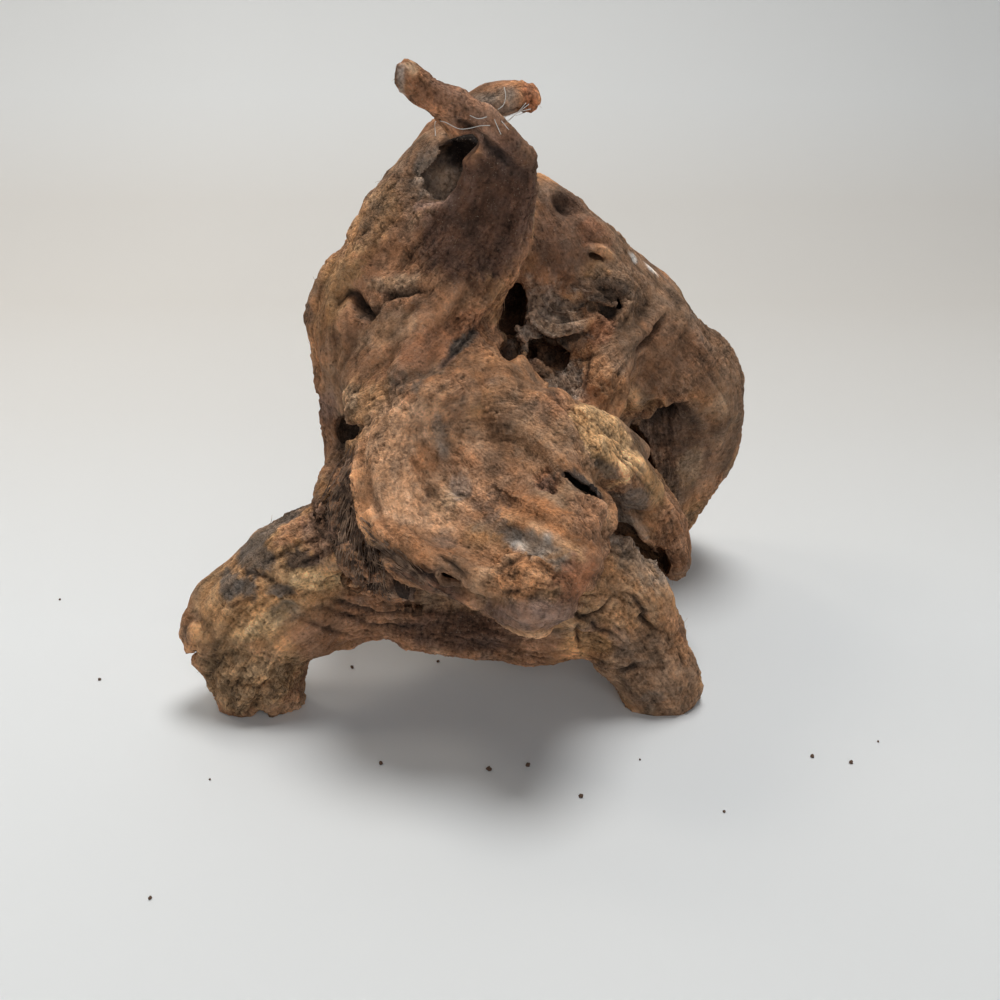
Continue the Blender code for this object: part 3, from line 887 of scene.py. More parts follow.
def lineGroove(line, width, depth):
    # depth * exp(-(distance / width)^2), which fades towards both ends of the line
    close, away, _, along = followLine(onSkin(line), 3 * width * mm)
    whole = along.max(initial=0) + 1e-9
    fade = np.clip(1.25 * np.sin(np.clip(along / whole, 0.04, 0.96) * math.pi), 0, 1)
    bent = away * (1 + 0.5 * (raggedNoise[close] - 0.5))
    cut = np.zeros(pointCount)
    cut[close] = depth * mm * fade * np.exp(-((bent / (width * mm)) ** 2))
    return cut


def sculpt():
    hidden = cloud(points, relief["hiddenSize"] * mm, 51, 2)
    crumbly = relief["hiddenCrumble"] * stepUp(hidden, 0.42, 0.62)
    for u, v, halfWide, halfHigh, turn, strength in crumblyPlaces.values():
        crumbly = np.maximum(crumbly, strength * spotWeight(u, v, halfWide, halfHigh, turn, 22, 0.25))
    height = np.zeros(pointCount)
    for u, v, halfWide, halfHigh, turn, rise in swells.values():
        height += rise * mm * spotWeight(u, v, halfWide, halfHigh, turn, 16, 0.12, 0.5)
    # the neck, above pixel row 330 and left of column 600, is calmer too
    calm = 1 - relief["neckCalm"] * stepUp(pixels[:, 1], 330, 250) * stepUp(pixels[:, 0], 600, 520)
    for u, v, halfWide, halfHigh, turn, deep, calmer, edge in calmPlaces.values():
        calm *= 1 - calmer * spotWeight(u, v, halfWide, halfHigh, turn, deep, 0.0, edge)
    height += relief["coarse"] * mm * calm * (coarseFibre - 0.5) * (0.55 + 0.6 * crumbly)
    ropes = 0.5 - np.abs(2 * cloud(points, relief["ropeSize"] * mm, 63) - 1)
    height += relief["ropes"] * mm * ropes * (0.4 + coarseFibre)
    height += relief["middle"] * mm * (middleFibre - 0.5) * (0.5 + 1.3 * crumbly) * calm
    height += relief["fine"] * mm * (fineFibre - 0.5) * (0.5 + 1.6 * crumbly) * calm
    height += relief["lumps"] * mm * (cloud(points, relief["lumpSize"] * mm, 61, 3) - 0.5) * calm
    # plates of bark: noise * plates rounded down, with each step's edge eased over its last quarter
    plates = (0.5 * middleFibre + 0.5 * cloud(points, relief["plateSize"] * mm, 62,
        3)) * relief["plates"]
    plates = np.floor(plates) + stepUp(plates % 1, 0.75, 1.0)
    height += relief["flakes"] * mm * (plates / relief["plates"] - 0.5) * (0.25 + 0.9 * crumbly)
    # crumbs: noise, with a cut of half a crumb's height where the noise crosses a half
    crumbs = cloud(points, relief["crumbSize"] * mm, 71, 3)
    chipped = np.abs(crumbs - 0.5) * 2
    height += relief["crumble"] * mm * crumbly * (crumbs - 0.5 - 0.5 * stepUp(chipped, 0.16, 0.0))
    cracked = np.zeros(pointCount)
    for line, width, depth in grooves.values():
        cut = lineGroove(line, width, depth)
        cracked = np.maximum(cracked, cut / (depth * mm) * min(depth / 1.6, 1.0))
        height -= cut
    grounded = stepUp(points[:, 2], 0.0, relief["floorGuard"] * mm)
    return height, crumbly, cracked, grounded


height, crumbly, cracked, grounded = sculpt()
sideways = normals.copy()
sideways[:, 2] *= grounded    # near the floor nothing moves up or down, so the feet stay on it
shaped = points + sideways * height[:, None]
shaped[:, 2] = np.maximum(shaped[:, 2], 0.0)
report("sculpted")

# Colour

palette = {
    "umber": (118, 82, 58), "warm": (136, 94, 62), "chocolate": (70, 50, 40), "ochre": (160, 115, 72),
    "gold": (194, 148, 98), "rust": (142, 86, 58), "orange": (151, 97, 61), "slate": (74, 67, 60),
    # pitch is painted shade, the near black inside the holes and the deep pocket
    "ash": (126, 112, 98), "chalk": (192, 176, 158), "mauve": (116, 92, 80), "pitch": (22, 19, 18),
    "tan": (150, 120, 90), "olive": (126, 98, 68), "bark": (103, 80, 61), "plum": (96, 75, 64),
    # soot colours dark bark patches and the knot, and also paints shade in the grooves, the fold and the
    # lobe's recess
    "soot": (44, 40, 38), "cream": (226, 216, 200), "sand": (168, 130, 96), "moss": (98, 88, 72),
    "trunkTan": (180, 129, 93), "brightGold": (234, 165, 104),
    "brick": (174, 114, 74),
}

# Broad coats under the patches: patch size in mm, seed, octaves, the noise where it starts and is full,
# and its strength.
broadCoats = {
    "warm": (30, 81, 3, 0.42, 0.6, 0.8), "bark": (24, 82, 3, 0.5, 0.64, 0.8), "ochre": (20, 83, 3,
        0.56, 0.66, 0.4),
    "slate": (15, 84, 4, 0.64, 0.7, 0.5), "sand": (18, 85, 4, 0.62, 0.7, 0.35),
}

# Patches of colour: pixel, half sizes in pixels, turn, colour, strength, raggedness.
patches = {
    "upperBody": (400, 300, 110, 90, 20, "umber", 0.8, 0.3),
    # painted shade: a deep brown laid over the neck's hollow and its right side
    "neck": (478, 216, 62, 72, 20, "chocolate", 0.95, 0.3),
    "neckRight": (520, 170, 26, 40, 0, "chocolate", 0.6, 0.3),
    "horn": (455, 100, 75, 26, 35, "rust", 0.45, 0.2),
    "hornBrown": (480, 120, 60, 22, 38, "plum", 0.6, 0.4),
    "hornTip": (400, 62, 7, 9, 0, "sand", 0.9, 0.3),
    "hornEdge": (402, 80, 4, 14, 0, "chalk", 0.6, 0.5),
    "stubSide": (492, 100, 26, 14, -15, "ash", 0.6, 0.2),
    "stubTop": (512, 84, 34, 6, -12, "orange", 0.6, 0.4),
    "stubEnd": (530, 96, 9, 14, 0, "rust", 0.85, 0.4),
    "pocketFloor": (440, 182, 24, 28, 25, "ash", 0.8, 0.3),
    # painted shade inside the deep pocket
    "pocketDeep": (463, 147, 22, 14, -32, "pitch", 0.95, 0.2),
    "pocketRim": (432, 203, 22, 8, -8, "mauve", 0.6, 0.4),
    "shoulderOchre": (372, 220, 22, 40, 25, "ochre", 0.35, 0.5),
    "shoulderDark": (356, 215, 8, 26, 20, "slate", 0.35, 0.5),
    "leftOchre": (334, 290, 20, 46, 25, "ochre", 0.65, 0.5),
    "leftEdge": (318, 330, 10, 60, 0, "orange", 0.45, 0.5),
    "leftPlain": (350, 350, 30, 34, 0, "umber", 0.6, 0.4),
    "creviceScab": (372, 312, 16, 10, 20, "bark", 0.7, 0.4),
    "creviceLight": (395, 283, 24, 10, 0, "sand", 0.55, 0.6),
    "speckled": (395, 330, 32, 18, -10, "sand", 0.35, 0.7),
    "sweepOrange": (440, 340, 60, 16, -32, "rust", 0.35, 0.6),
    "sweepLow": (450, 385, 70, 16, -20, "orange", 0.4, 0.6),
    "greyScab": (463, 342, 18, 8, -45, "slate", 0.95, 0.5),
    "greyScabLow": (447, 359, 14, 4, -40, "plum", 0.7, 0.5),
    "chip": (419, 389, 8, 6, -50, "slate", 0.95, 0.2),
    "chipOrange": (432, 384, 6, 9, 20, "orange", 0.9, 0.4),
    "redHole": (409, 402, 9, 7, -40, "rust", 0.7, 0.4),
    "notchPale": (351, 398, 13, 13, 0, "sand", 0.7, 0.7),
    "notchLeft": (328, 408, 12, 18, 0, "plum", 0.7, 0.4),
    "belowNotch": (334, 455, 14, 26, 0, "slate", 0.5, 0.4),
    "foldDark": (344, 510, 20, 56, -6, "umber", 0.8, 0.4),
    "foldStreaks": (342, 515, 16, 56, -8, "soot", 0.4, 1.3),
    "foldGrey": (346, 490, 6, 40, 0, "slate", 0.7, 0.4),
    "foldFoot": (368, 578, 34, 22, 30, "umber", 0.8, 0.3),
    "foldShade": (366, 588, 32, 8, 12, "soot", 0.55, 0.6),
    "trunkFace": (420, 470, 75, 75, 0, "trunkTan", 0.92, 0.3),
    "rimOrange": (362, 500, 14, 50, -5, "brick", 0.8, 0.5),
    "rimLow": (405, 545, 46, 16, 35, "orange", 0.75, 0.5),
    "patchOrangeOne": (425, 459, 12, 12, 0, "orange", 0.7, 0.7),
    "patchOrangeTwo": (464, 458, 14, 12, 0, "orange", 0.75, 0.7),
    "patchGreyOne": (441, 440, 7, 24, -8, "ash", 0.8, 0.9),
    "patchPale": (452, 494, 14, 20, 25, "tan", 0.9, 1.1),
    "patchPaleCore": (456, 488, 9, 14, 30, "chalk", 0.7, 1.2),
    "patchGreyTwo": (490, 503, 22, 14, 38, "slate", 0.8, 1.3),
    "patchGreyThree": (502, 518, 20, 12, 38, "slate", 0.8, 1.3),
    "patchGreyFour": (486, 527, 18, 7, 0, "moss", 0.7, 1.1),
    "bandOrange": (545, 514, 58, 14, 33, "orange", 0.95, 0.35),
    # painted shade under the rim's roll
    "rollDark": (426, 583, 42, 9, 24, "chocolate", 0.85, 0.4),
    "patchWhite": (534, 539, 30, 12, 14, "ash", 1.0, 0.9),
    "patchBright": (518, 545, 5, 5, 0, "cream", 0.5, 1.0),
    "patchBrightTwo": (546, 538, 6, 4, 30, "chalk", 0.5, 1.0),
    "patchLow": (560, 564, 15, 10, 0, "ash", 0.9, 1.0),
    "frontFace": (522, 577, 34, 18, -15, "brick", 1.0, 0.4),
    "frontRight": (582, 580, 26, 24, 0, "rust", 0.75, 0.6),
    "lip": (540, 614, 66, 15, 0, "plum", 0.9, 0.35),
    "porous": (546, 478, 13, 12, 0, "rust", 0.6, 0.5),
    "porousDark": (546, 480, 10, 9, 0, "soot", 0.6, 0.8),
    "cheek": (590, 515, 24, 26, 30, "umber", 0.85, 0.5),
    "trunkRight": (530, 435, 45, 30, 30, "bark", 0.5, 0.6),
    "trunkMiddle": (484, 484, 50, 40, 30, "umber", 0.5, 0.6),
    "sideGold": (616, 444, 25, 50, -42, "brightGold", 0.9, 0.7),
    "sideGoldLow": (655, 485, 12, 26, -38, "ochre", 0.85, 0.5),
    "sideGrey": (608, 470, 16, 8, 25, "slate", 0.85, 0.4),
    "sideGreyLow": (634, 500, 17, 13, 20, "slate", 0.85, 0.4),
    "sideEnd": (674, 540, 20, 40, 0, "umber", 0.8, 0.4),
    "valley": (638, 550, 26, 52, -38, "ash", 0.8, 0.4),
    # painted shade in the crack at the top of the valley
    "valleyTop": (580, 484, 10, 26, -55, "soot", 0.9, 0.3),
    "rightLeg": (628, 590, 50, 40, 40, "ochre", 0.35, 0.5),
    "rightToe": (640, 680, 55, 34, 0, "bark", 0.8, 0.4),
    "rightGrey": (655, 700, 15, 8, 0, "slate", 0.6, 0.5),
    "rightDark": (645, 640, 20, 14, 20, "bark", 0.6, 0.6),
    "legFlakes": (585, 645, 26, 12, 0, "ochre", 0.6, 0.6),
    "leftLeg": (255, 590, 90, 60, -30, "ochre", 0.6, 0.3),
    "legTopBrown": (290, 532, 22, 12, -38, "umber", 0.8, 0.6),
    "legTopBand": (266, 530, 48, 9, -38, "slate", 0.85, 0.6),
    "legPlum": (252, 556, 20, 20, -30, "slate", 0.85, 0.7),
    "legSlateOne": (229, 583, 14, 16, -20, "slate", 0.95, 0.7),
    "legSlateTwo": (246, 588, 16, 12, -10, "slate", 0.95, 0.7),
    "legSlateThree": (281, 590, 15, 7, -8, "slate", 0.9, 0.6),
    "legSlateFour": (284, 612, 16, 12, -30, "moss", 0.9, 0.5),
    "legSlateFive": (302, 560, 17, 10, 10, "soot", 0.85, 0.6),
    "legGold": (312, 580, 26, 10, 5, "gold", 0.95, 0.5),
    "legGoldTwo": (262, 625, 30, 10, -25, "gold", 0.7, 0.6),
    "foot": (245, 680, 56, 36, -10, "olive", 0.85, 0.4),
    "legCrumble": (320, 528, 22, 32, -10, "plum", 0.75, 0.5),
    # painted shade along the arch and under the stub's lower lip
    "arch": (370, 622, 90, 22, 4, "umber", 0.6, 0.4),
    "archUnder": (460, 632, 64, 20, 5, "chocolate", 0.8, 0.3),
    "rearFace": (640, 300, 90, 80, 40, "bark", 0.85, 0.3),
    "rearHigh": (562, 235, 34, 44, 0, "chocolate", 0.6, 0.4),
    "rearOrange": (594, 238, 18, 14, 40, "rust", 0.3, 0.6),
    "rearWarm": (665, 360, 50, 40, 30, "umber", 0.6, 0.6),
    "rearRust": (600, 330, 12, 18, 30, "rust", 0.5, 0.6),
    "knot": (602, 291, 26, 14, 12, "soot", 0.6, 0.5),
    "cavityGrey": (545, 320, 42, 36, 0, "ash", 0.7, 0.5),
    "cavityWall": (566, 384, 18, 26, 0, "ash", 0.8, 0.5),
    "strandGrey": (521, 352, 6, 24, 0, "ash", 0.8, 0.4),
    "lobeFloor": (675, 440, 34, 40, 0, "bark", 0.8, 0.4),
    # painted shade in the lobe's recess, darkest under its brow
    "lobeShade": (674, 446, 44, 40, 0, "chocolate", 0.45, 0.05),
    "lobeDark": (664, 424, 38, 18, -18, "soot", 0.45, 0.05),
    "lobePale": (690, 466, 14, 20, 0, "tan", 0.5, 0.7),
    "chalkOne": (632, 259, 6, 2.5, 45, "cream", 0.95, 0.3),
    "chalkTwo": (650, 270, 9, 4, 38, "cream", 0.95, 0.3),
}


paintLook = {"saturation": 0.9, "gain": 2.25, "balance": (1.04, 0.97, 0.95), "holeDark": 0.5,
    "crackDark": 0.7, "mottle": 1.5}


def linear(name):
    # sRGB to linear by ((c + 0.055) / 1.055)^2.4, then brightened by gain * c / (1 + (gain - 1) * c)
    c = np.array(palette[name]) / 255
    c = c.mean() + paintLook["saturation"] * (c - c.mean())
    c = np.where(c <= 0.04045, c / 12.92, ((c + 0.055) / 1.055) ** 2.4)
    return paintLook["gain"] * c / (1 + (paintLook["gain"] - 1) * c) * paintLook["balance"]


def paint():
    tint = np.tile(linear("umber"), (pointCount, 1))

    def cover(colour, weight):
        tint[:] = tint + (linear(colour) - tint) * np.clip(weight, 0, 1)[:, None]

    for colour, (size, seed, octaves, low, high, strength) in broadCoats.items():
        cover(colour, strength * stepUp(cloud(points, size * mm, seed, octaves), low, high))
    for u, v, halfWide, halfHigh, turn, colour, strength, ragged in patches.values():
        edge = 0.6 if ragged < 0.1 else 0.2    # the smoothest patches fade the widest
        cover(colour, strength * spotWeight(u, v, halfWide, halfHigh, turn, 20, ragged, edge))
    for u, v, halfWide, halfHigh, turn, halfDeep, inset in holes.values():
        inside = spotWeight(u, v, halfWide * 0.95, halfHigh * 0.95, turn, halfDeep + 6, 0.15, 0.2)
        # painted shade: the deeper the hole, the darker its inside
        cover("pitch", paintLook["holeDark"] * stepUp(halfDeep, 5, 12) * inside)
    # painted shade in the grooves, darker towards a groove's middle and in the deeper grooves
    cover("soot", cracked * paintLook["crackDark"])
    mottle = cloud(points, 7 * mm, 87, 4) + 0.5 * cloud(points, 1.6 * mm, 92, 2) - 0.25
    return tint * (1 + paintLook["mottle"] * (mottle - 0.5))[:, None]


tint = paint()
shapedNormals = surfaceNormals(shaped)
bulge = ((evened(shaped, 6) - shaped) * shapedNormals).sum(1)
hollow = np.clip(0.5 + bulge / (1.2 * mm), 0, 1)    # above a half in hollows, below it on ridges
report("painted")


def finishSkin():
    mesh = fineMesh
    mesh.vertices.foreach_set("co", shaped.ravel())
    across = np.cross(shapedNormals, grainWay)
    columns = {
        "tint": ("FLOAT_COLOR", "color", np.hstack([tint, np.ones((pointCount, 1))])),
        "across": ("FLOAT_VECTOR", "vector", across),
        "streak": ("FLOAT", "value", np.clip(0.55 * fineFibre + 0.45 * middleFibre, 0, 1)),
        "hollow": ("FLOAT", "value", hollow),
        "crumbly": ("FLOAT", "value", crumbly),
    }
    for name, (kind, key, values) in columns.items():
        layer = mesh.attributes.new(name, kind, "POINT")
        layer.data.foreach_set(key, values.astype(np.float32).ravel())
    mesh.update()
    piece = bpy.data.objects.new("root_wood", mesh)
    bpy.context.scene.collection.objects.link(piece)
    thin = piece.modifiers.new("thin", "DECIMATE")
    thin.ratio = min(1.0, skinSize["triangles"] / (2 * len(quads)))
    final = evaluatedCopy(piece, "root_wood")
    piece.modifiers.clear()
    piece.data = final
    final.polygons.foreach_set("use_smooth", np.ones(len(final.polygons), bool))
    report(f"skin has {sum(len(p.vertices) - 2 for p in final.polygons)} triangles")
    return piece


rootWood = finishSkin()


def feed(tree, socket, value):
    if isinstance(value, bpy.types.NodeSocket):
        tree.links.new(value, socket)
    else:
        socket.default_value = value


def addNode(tree, kind, properties=None, **sockets):
    made = tree.nodes.new(kind)
    for key, value in (properties or {}).items():
        setattr(made, key, value)
    for key, value in sockets.items():
        # a socket is found by its identifier or by its name, without the spaces
        socket = next(s for s in made.inputs
                      if key in (s.identifier.replace(" ", ""), s.name.replace(" ", "")))
        feed(tree, socket, value)
    return made


def attribute(tree, name):
    return addNode(tree, "ShaderNodeAttribute", {"attribute_name": name})


def maths(tree, kind, first, second=0.0, third=0.0, clamp=False):
    made = tree.nodes.new("ShaderNodeMath")
    made.operation = kind
    made.use_clamp = clamp
    for socket, value in zip(made.inputs, (first, second, third)):
        feed(tree, socket, value)
    return made.outputs[0]


def ranged(tree, value, low, high, toLow, toHigh):
    made = tree.nodes.new("ShaderNodeMapRange")
    tree.links.new(value, made.inputs[0])
    for socket, number in zip(made.inputs[1:5], (low, high, toLow, toHigh)):
        socket.default_value = number
    return made.outputs[0]


def mixed(tree, share, first, second, kind="MIX"):
    made = tree.nodes.new("ShaderNodeMix")
    made.data_type = "RGBA"
    made.blend_type = kind
    for index, value in ((0, share), (6, first), (7, second)):
        feed(tree, made.inputs[index], value)
    return made.outputs[2]


woodLook = {
    "roughness": 0.9, "specular": 0.2, "bump": 0.9, "bumpHeight": 0.0008,
    "hairScale": 400.0, "hairFrequency": 2.2, "anisotropy": 1.0, "waver": 0.0012, "waverScale": 160.0,
    "gritScale": 900.0, "poreScale": 520.0, "warmthScale": 210.0, "dustScale": 1500.0,
    "streakTone": 0.8, "hairTone": 0.5, "gritTone": 2.3,    # how much each pattern lightens and darkens
    "smoothTone": 0.65, "crumblyTone": 1.25,    # the share of that on smooth and on crumbly wood
    "darkest": 0.18, "lightest": 2.4, "hollowLight": 0.42, "ridgeLight": 1.45, "poreLight": 0.5,
    "cool": (0.95, 1.0, 1.05, 1.0), "warm": (1.05, 0.99, 0.92, 1.0), "dust": (0.46, 0.36, 0.27,
        1.0), "dustShare": 0.5,
    "hairBump": 0.55, "gritBump": 2.0, "streakBump": 0.3, "smoothBump": 0.7, "crumblyBump": 1.3,
}


def noise(tree, place, scale, detail, roughness=0.5):
    return addNode(tree, "ShaderNodeTexNoise", {"noise_dimensions": "3D"}, Vector=place, Scale=scale,
                   Detail=detail, Roughness=roughness).outputs


def woodMaterial():
    material = bpy.data.materials.new("driftwood")
    material.use_nodes = True
    tree = material.node_tree
    tree.nodes.clear()
    place = addNode(tree, "ShaderNodeTexCoord").outputs["Object"]
    across = attribute(tree, "across").outputs["Vector"]
    streak = attribute(tree, "streak").outputs["Fac"]
    hollowShare = attribute(tree, "hollow").outputs["Fac"]
    rough = attribute(tree, "crumbly").outputs["Fac"]
    tintColour = attribute(tree, "tint").outputs["Color"]
    look = woodLook
    # the hairs' place wavers by up to about a millimetre
    waver = noise(tree, place, look["waverScale"], 2.0)["Color"]
    shift = tree.nodes.new("ShaderNodeVectorMath")
    shift.operation = "MULTIPLY_ADD"
    for socket, value in zip(shift.inputs, (waver, (look["waver"],) * 3, place)):
        feed(tree, socket, value)
    gabor = addNode(tree, "ShaderNodeTexGabor", {"gabor_type": "3D"}, Vector=shift.outputs[0],
                    Scale=look["hairScale"], Frequency=look["hairFrequency"],
                    Anisotropy=look["anisotropy"], Orientation3D=across)
    hairs = gabor.outputs["Value"]
    grit = noise(tree, place, look["gritScale"], 3.0, 0.65)["Fac"]
    pores = noise(tree, place, look["poreScale"], 2.0)["Fac"]
    warmth = noise(tree, place, look["warmthScale"], 2.0, 0.6)["Fac"]
    dust = noise(tree, place, look["dustScale"], 2.0, 0.6)["Fac"]
    # brightness: 1 + the sum of each pattern's strength * (its value - a half), then painted shade in
    # hollows, less in pores and more on ridges
    light = maths(tree, "MULTIPLY_ADD", streak, look["streakTone"], 1 - look["streakTone"] / 2)
    coarseness = ranged(tree, rough, 0.0, 1.0, look["smoothTone"], look["crumblyTone"])
    for pattern, tone in ((hairs, "hairTone"), (grit, "gritTone")):
        apart = maths(tree, "MULTIPLY_ADD", pattern, look[tone], -look[tone] / 2)
        light = maths(tree, "MULTIPLY_ADD", apart, coarseness, light)
    light = maths(tree, "MINIMUM", maths(tree, "MAXIMUM", light, look["darkest"]), look["lightest"])
    for pattern, low, high, share in ((hollowShare, 0.5, 0.95, "hollowLight"),
                                      (hollowShare, 0.5, 0.1, "ridgeLight"), (pores, 0.6, 0.72,
                                          "poreLight")):
        light = maths(tree, "MULTIPLY", light, ranged(tree, pattern, low, high, 1.0, look[share]))
    hue = mixed(tree, ranged(tree, warmth, 0.38, 0.62, 0.0, 1.0), look["cool"], look["warm"])
    colour = mixed(tree, 1.0, mixed(tree, 1.0, tintColour, hue, "MULTIPLY"), light, "MULTIPLY")
    specks = ranged(tree, dust, 0.63, 0.72, 0.0, look["dustShare"])
    outside = ranged(tree, hollowShare, 0.7, 0.4, 0.0, 1.0)
    colour = mixed(tree, maths(tree, "MULTIPLY", specks, outside), colour, look["dust"])
    high = maths(tree, "MULTIPLY", hairs, look["hairBump"])
    high = maths(tree, "MULTIPLY_ADD", grit, look["gritBump"], high)
    high = maths(tree, "MULTIPLY_ADD", streak, look["streakBump"], high)
    coarseness = ranged(tree, rough, 0.0, 1.0, look["smoothBump"], look["crumblyBump"])
    high = maths(tree, "MULTIPLY", high, coarseness)
    bump = addNode(tree, "ShaderNodeBump", None, Strength=look["bump"], Distance=look["bumpHeight"],
                   Height=high).outputs["Normal"]
    surface = addNode(tree, "ShaderNodeBsdfPrincipled", None, BaseColor=colour,
                      Roughness=look["roughness"], Normal=bump)
    surface.inputs["Specular IOR Level"].default_value = look["specular"]
    out = tree.nodes.new("ShaderNodeOutputMaterial")
    tree.links.new(surface.outputs[0], out.inputs[0])
    return material


rootWood.data.materials.clear()
rootWood.data.materials.append(woodMaterial())
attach(rootWood, "root")
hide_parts("driftwood_root")

# Loose fibres on the wood, and the silk threads by the horn

looseFibres = {"count": 700, "length": (1.2, 3.6), "radius": 0.1, "lift": 0.12, "bend": 0.5, "seed": 7}


def manyTubes(paths, radii, sides):
    # each ring: centre + side * r * cos(a) + up * r * sin(a), with one side and one up for each tube
    count, rings = radii.shape
    way = paths[:, -1] - paths[:, 0]
    way /= np.linalg.norm(way, axis=1)[:, None]
    guide = np.eye(3)[np.abs(way).argmin(1)]
    side = np.cross(way, guide)
    side /= np.linalg.norm(side, axis=1)[:, None]
    up = np.cross(way, side)
    angle = np.linspace(0, 2 * math.pi, sides, endpoint=False)
    ring = np.cos(angle)[None, :, None] * side[:, None] + np.sin(angle)[None, :, None] * up[:, None]
    spots = (paths[:, :, None] + ring[:, None] * radii[:, :, None, None]).reshape(-1, 3)
    first = np.arange(count)[:, None, None] * rings * sides + np.arange(rings - 1)[None, :,
        None] * sides
    k = np.arange(sides)[None, None, :]
    j = (k + 1) % sides
    faces = np.stack([first + k, first + j, first + sides + j, first + sides + k], 3).reshape(-1,
        4).tolist()
    base = np.arange(count)[:, None] * rings * sides
    faces += (base + np.arange(sides)[::-1]).tolist()
    faces += (base + (rings - 1) * sides + np.arange(sides)).tolist()
    return spots, faces


def plainMaterial(name, colour, roughness):
    material = bpy.data.materials.new(name)
    material.use_nodes = True
    surface = material.node_tree.nodes["Principled BSDF"]
    surface.inputs["Base Color"].default_value = (*colour, 1)
    surface.inputs["Roughness"].default_value = roughness
    return material


def addPiece(name, spots, faces, material):
    mesh = meshFrom(name, spots, faces)
    mesh.polygons.foreach_set("use_smooth", np.ones(len(mesh.polygons), bool))
    piece = bpy.data.objects.new(name, mesh)
    bpy.context.scene.collection.objects.link(piece)
    mesh.materials.append(material)
    return piece


def makeFibres():
    draw = np.random.default_rng(looseFibres["seed"])
    chance = crumbly**2 * (points[:, 2] > 5 * mm)
    start = draw.choice(pointCount, looseFibres["count"], False, chance / chance.sum())
    length = draw.uniform(*looseFibres["length"], len(start)) * mm
    turn = draw.normal(0, 0.35, (len(start), 3))
    way = grainWay[start] * draw.choice([-1, 1], len(start))[:,
        None] + shapedNormals[start] * looseFibres["lift"] + turn
    way /= np.linalg.norm(way, axis=1)[:, None]
    bend = draw.normal(0, looseFibres["bend"], (len(start), 3)) + 0.4 * shapedNormals[start]
    along = np.linspace(0, 1, 5)[None, :, None]
    root = shaped[start] - shapedNormals[start] * 0.3 * mm
    paths = root[:, None] + length[:, None,
        None] * (along * way[:, None] + along**2 * bend[:, None] * 0.5)
    paths[:, :, 2] = np.maximum(paths[:, :, 2], 0.5 * mm)
    radii = looseFibres["radius"] * mm * np.linspace(1, 0.25, 5)[None, :] * draw.uniform(0.6, 1.3,
        len(start))[:, None]
    piece = addPiece("root_fibres", *manyTubes(paths, radii, 4),
        plainMaterial("paleFibre", (0.36, 0.22, 0.13), 0.8))
    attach(piece, "root")


# Thin strings over the fold and under the rim: the pixel line they start on, the one they end on and
# their number. Radii in mm, spread as a share of the line, sag and wiggle in pixels.
web = {
    "families": [
        ([(352, 444), (352, 474), (352, 502), (362, 532), (382, 556)],
            [(324, 496), (326, 536), (342, 572), (366, 592), (398, 604)], 120),
        ([(346, 500), (352, 535), (366, 566), (384, 590)],
            [(432, 588), (452, 600), (474, 610), (500, 624)], 90),
        ([(396, 566), (424, 580), (456, 590)], [(400, 604), (436, 612), (470, 616)], 50),
    ],
    "radius": (0.1, 0.24), "spread": 0.06, "sag": 3.0, "wiggle": 0.9, "seed": 19,
    "dark": (0.075, 0.045, 0.03, 1.0), "light": (0.3, 0.19, 0.125, 1.0), "patchiness": 420.0,
}


def webMaterial():
    material = plainMaterial("brownFibre", web["light"][:3], 0.9)
    tree = material.node_tree
    place = addNode(tree, "ShaderNodeTexCoord").outputs["Object"]
    patchy = noise(tree, place, web["patchiness"], 2.0)["Fac"]
    colour = mixed(tree, ranged(tree, patchy, 0.4, 0.62, 0.0, 1.0), web["dark"], web["light"])
    tree.links.new(colour, tree.nodes["Principled BSDF"].inputs["Base Color"])
    return material


def makeWeb():
    shapedSurface = BVHTree.FromPolygons(shaped.tolist(), quads.tolist())
    draw = np.random.default_rng(web["seed"])
    t = np.linspace(0, 1, 11)
    paths = []
    for start, end, count in web["families"]:
        first, last = (spotsAlong(line, count, web["spread"], draw) for line in (start, end))
        seen = first[:, None] + (last - first)[:, None] * t[:, None]
        seen[:, :, 0] += draw.normal(0, web["sag"], count)[:, None] * np.sin(math.pi * t)
        seen += draw.normal(0, web["wiggle"], seen.shape)
        for line in seen:
            rays = [pixelRay(u, v) for u, v in line]
            away = np.array([shapedSurface.ray_cast(Vector(eye),
                Vector(ray))[3] or 0.0 for ray in rays])
            if away.min() == 0 or np.ptp(away) > 0.03:
                continue
            # drawn taut: each step moves towards the camera to the mean of the steps beside it
            for _ in range(12):
                away[1:-1] = np.minimum(away[1:-1], (away[:-2] + away[2:]) / 2)
            away[[0, -1]] += 0.4 * mm
            paths.append(eye + np.array(rays) * away[:, None])
    radii = draw.uniform(*web["radius"], len(paths))[:, None] * mm * (1 - 0.5 * np.abs(2 * t - 1) ** 3)
    piece = addPiece("root_strings", *manyTubes(np.array(paths), radii, 4), webMaterial())
    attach(piece, "root")
    report(f"{len(paths)} strings over the fold")


# Silk threads: pixels, how far in front of the skin in mm, and an anchor pixel for those in the air.
silk = {
    "hornLow": ([(425, 118), (435, 121), (445, 122), (453, 127), (460, 130), (470, 129), (480, 126),
        (490, 126)], 0.5),
    "hornMiddle": ([(470, 116), (478, 120), (486, 118), (494, 114), (500, 118)], 0.6),
    "hornRight": ([(486, 108), (492, 114), (496, 124), (501, 135)], 0.6),
    "hornFar": ([(492, 112), (502, 122), (510, 132), (520, 142)], 0.5),
    "airOne": ([(500, 128), (508, 120), (516, 114), (524, 108), (529, 104)], 0.0, (500, 92)),
    "airTwo": ([(504, 124), (512, 118), (520, 110), (526, 103)], 0.0, (500, 92)),
    "airThree": ([(498, 118), (508, 116), (518, 112), (531, 109)], 0.0, (500, 92)),
    "stubLoop": ([(504, 92), (506, 100), (504, 110), (498, 114)], 4.6, (500, 92)),
    "neckFall": ([(512, 140), (520, 152), (528, 160), (534, 168)], 0.5),
}


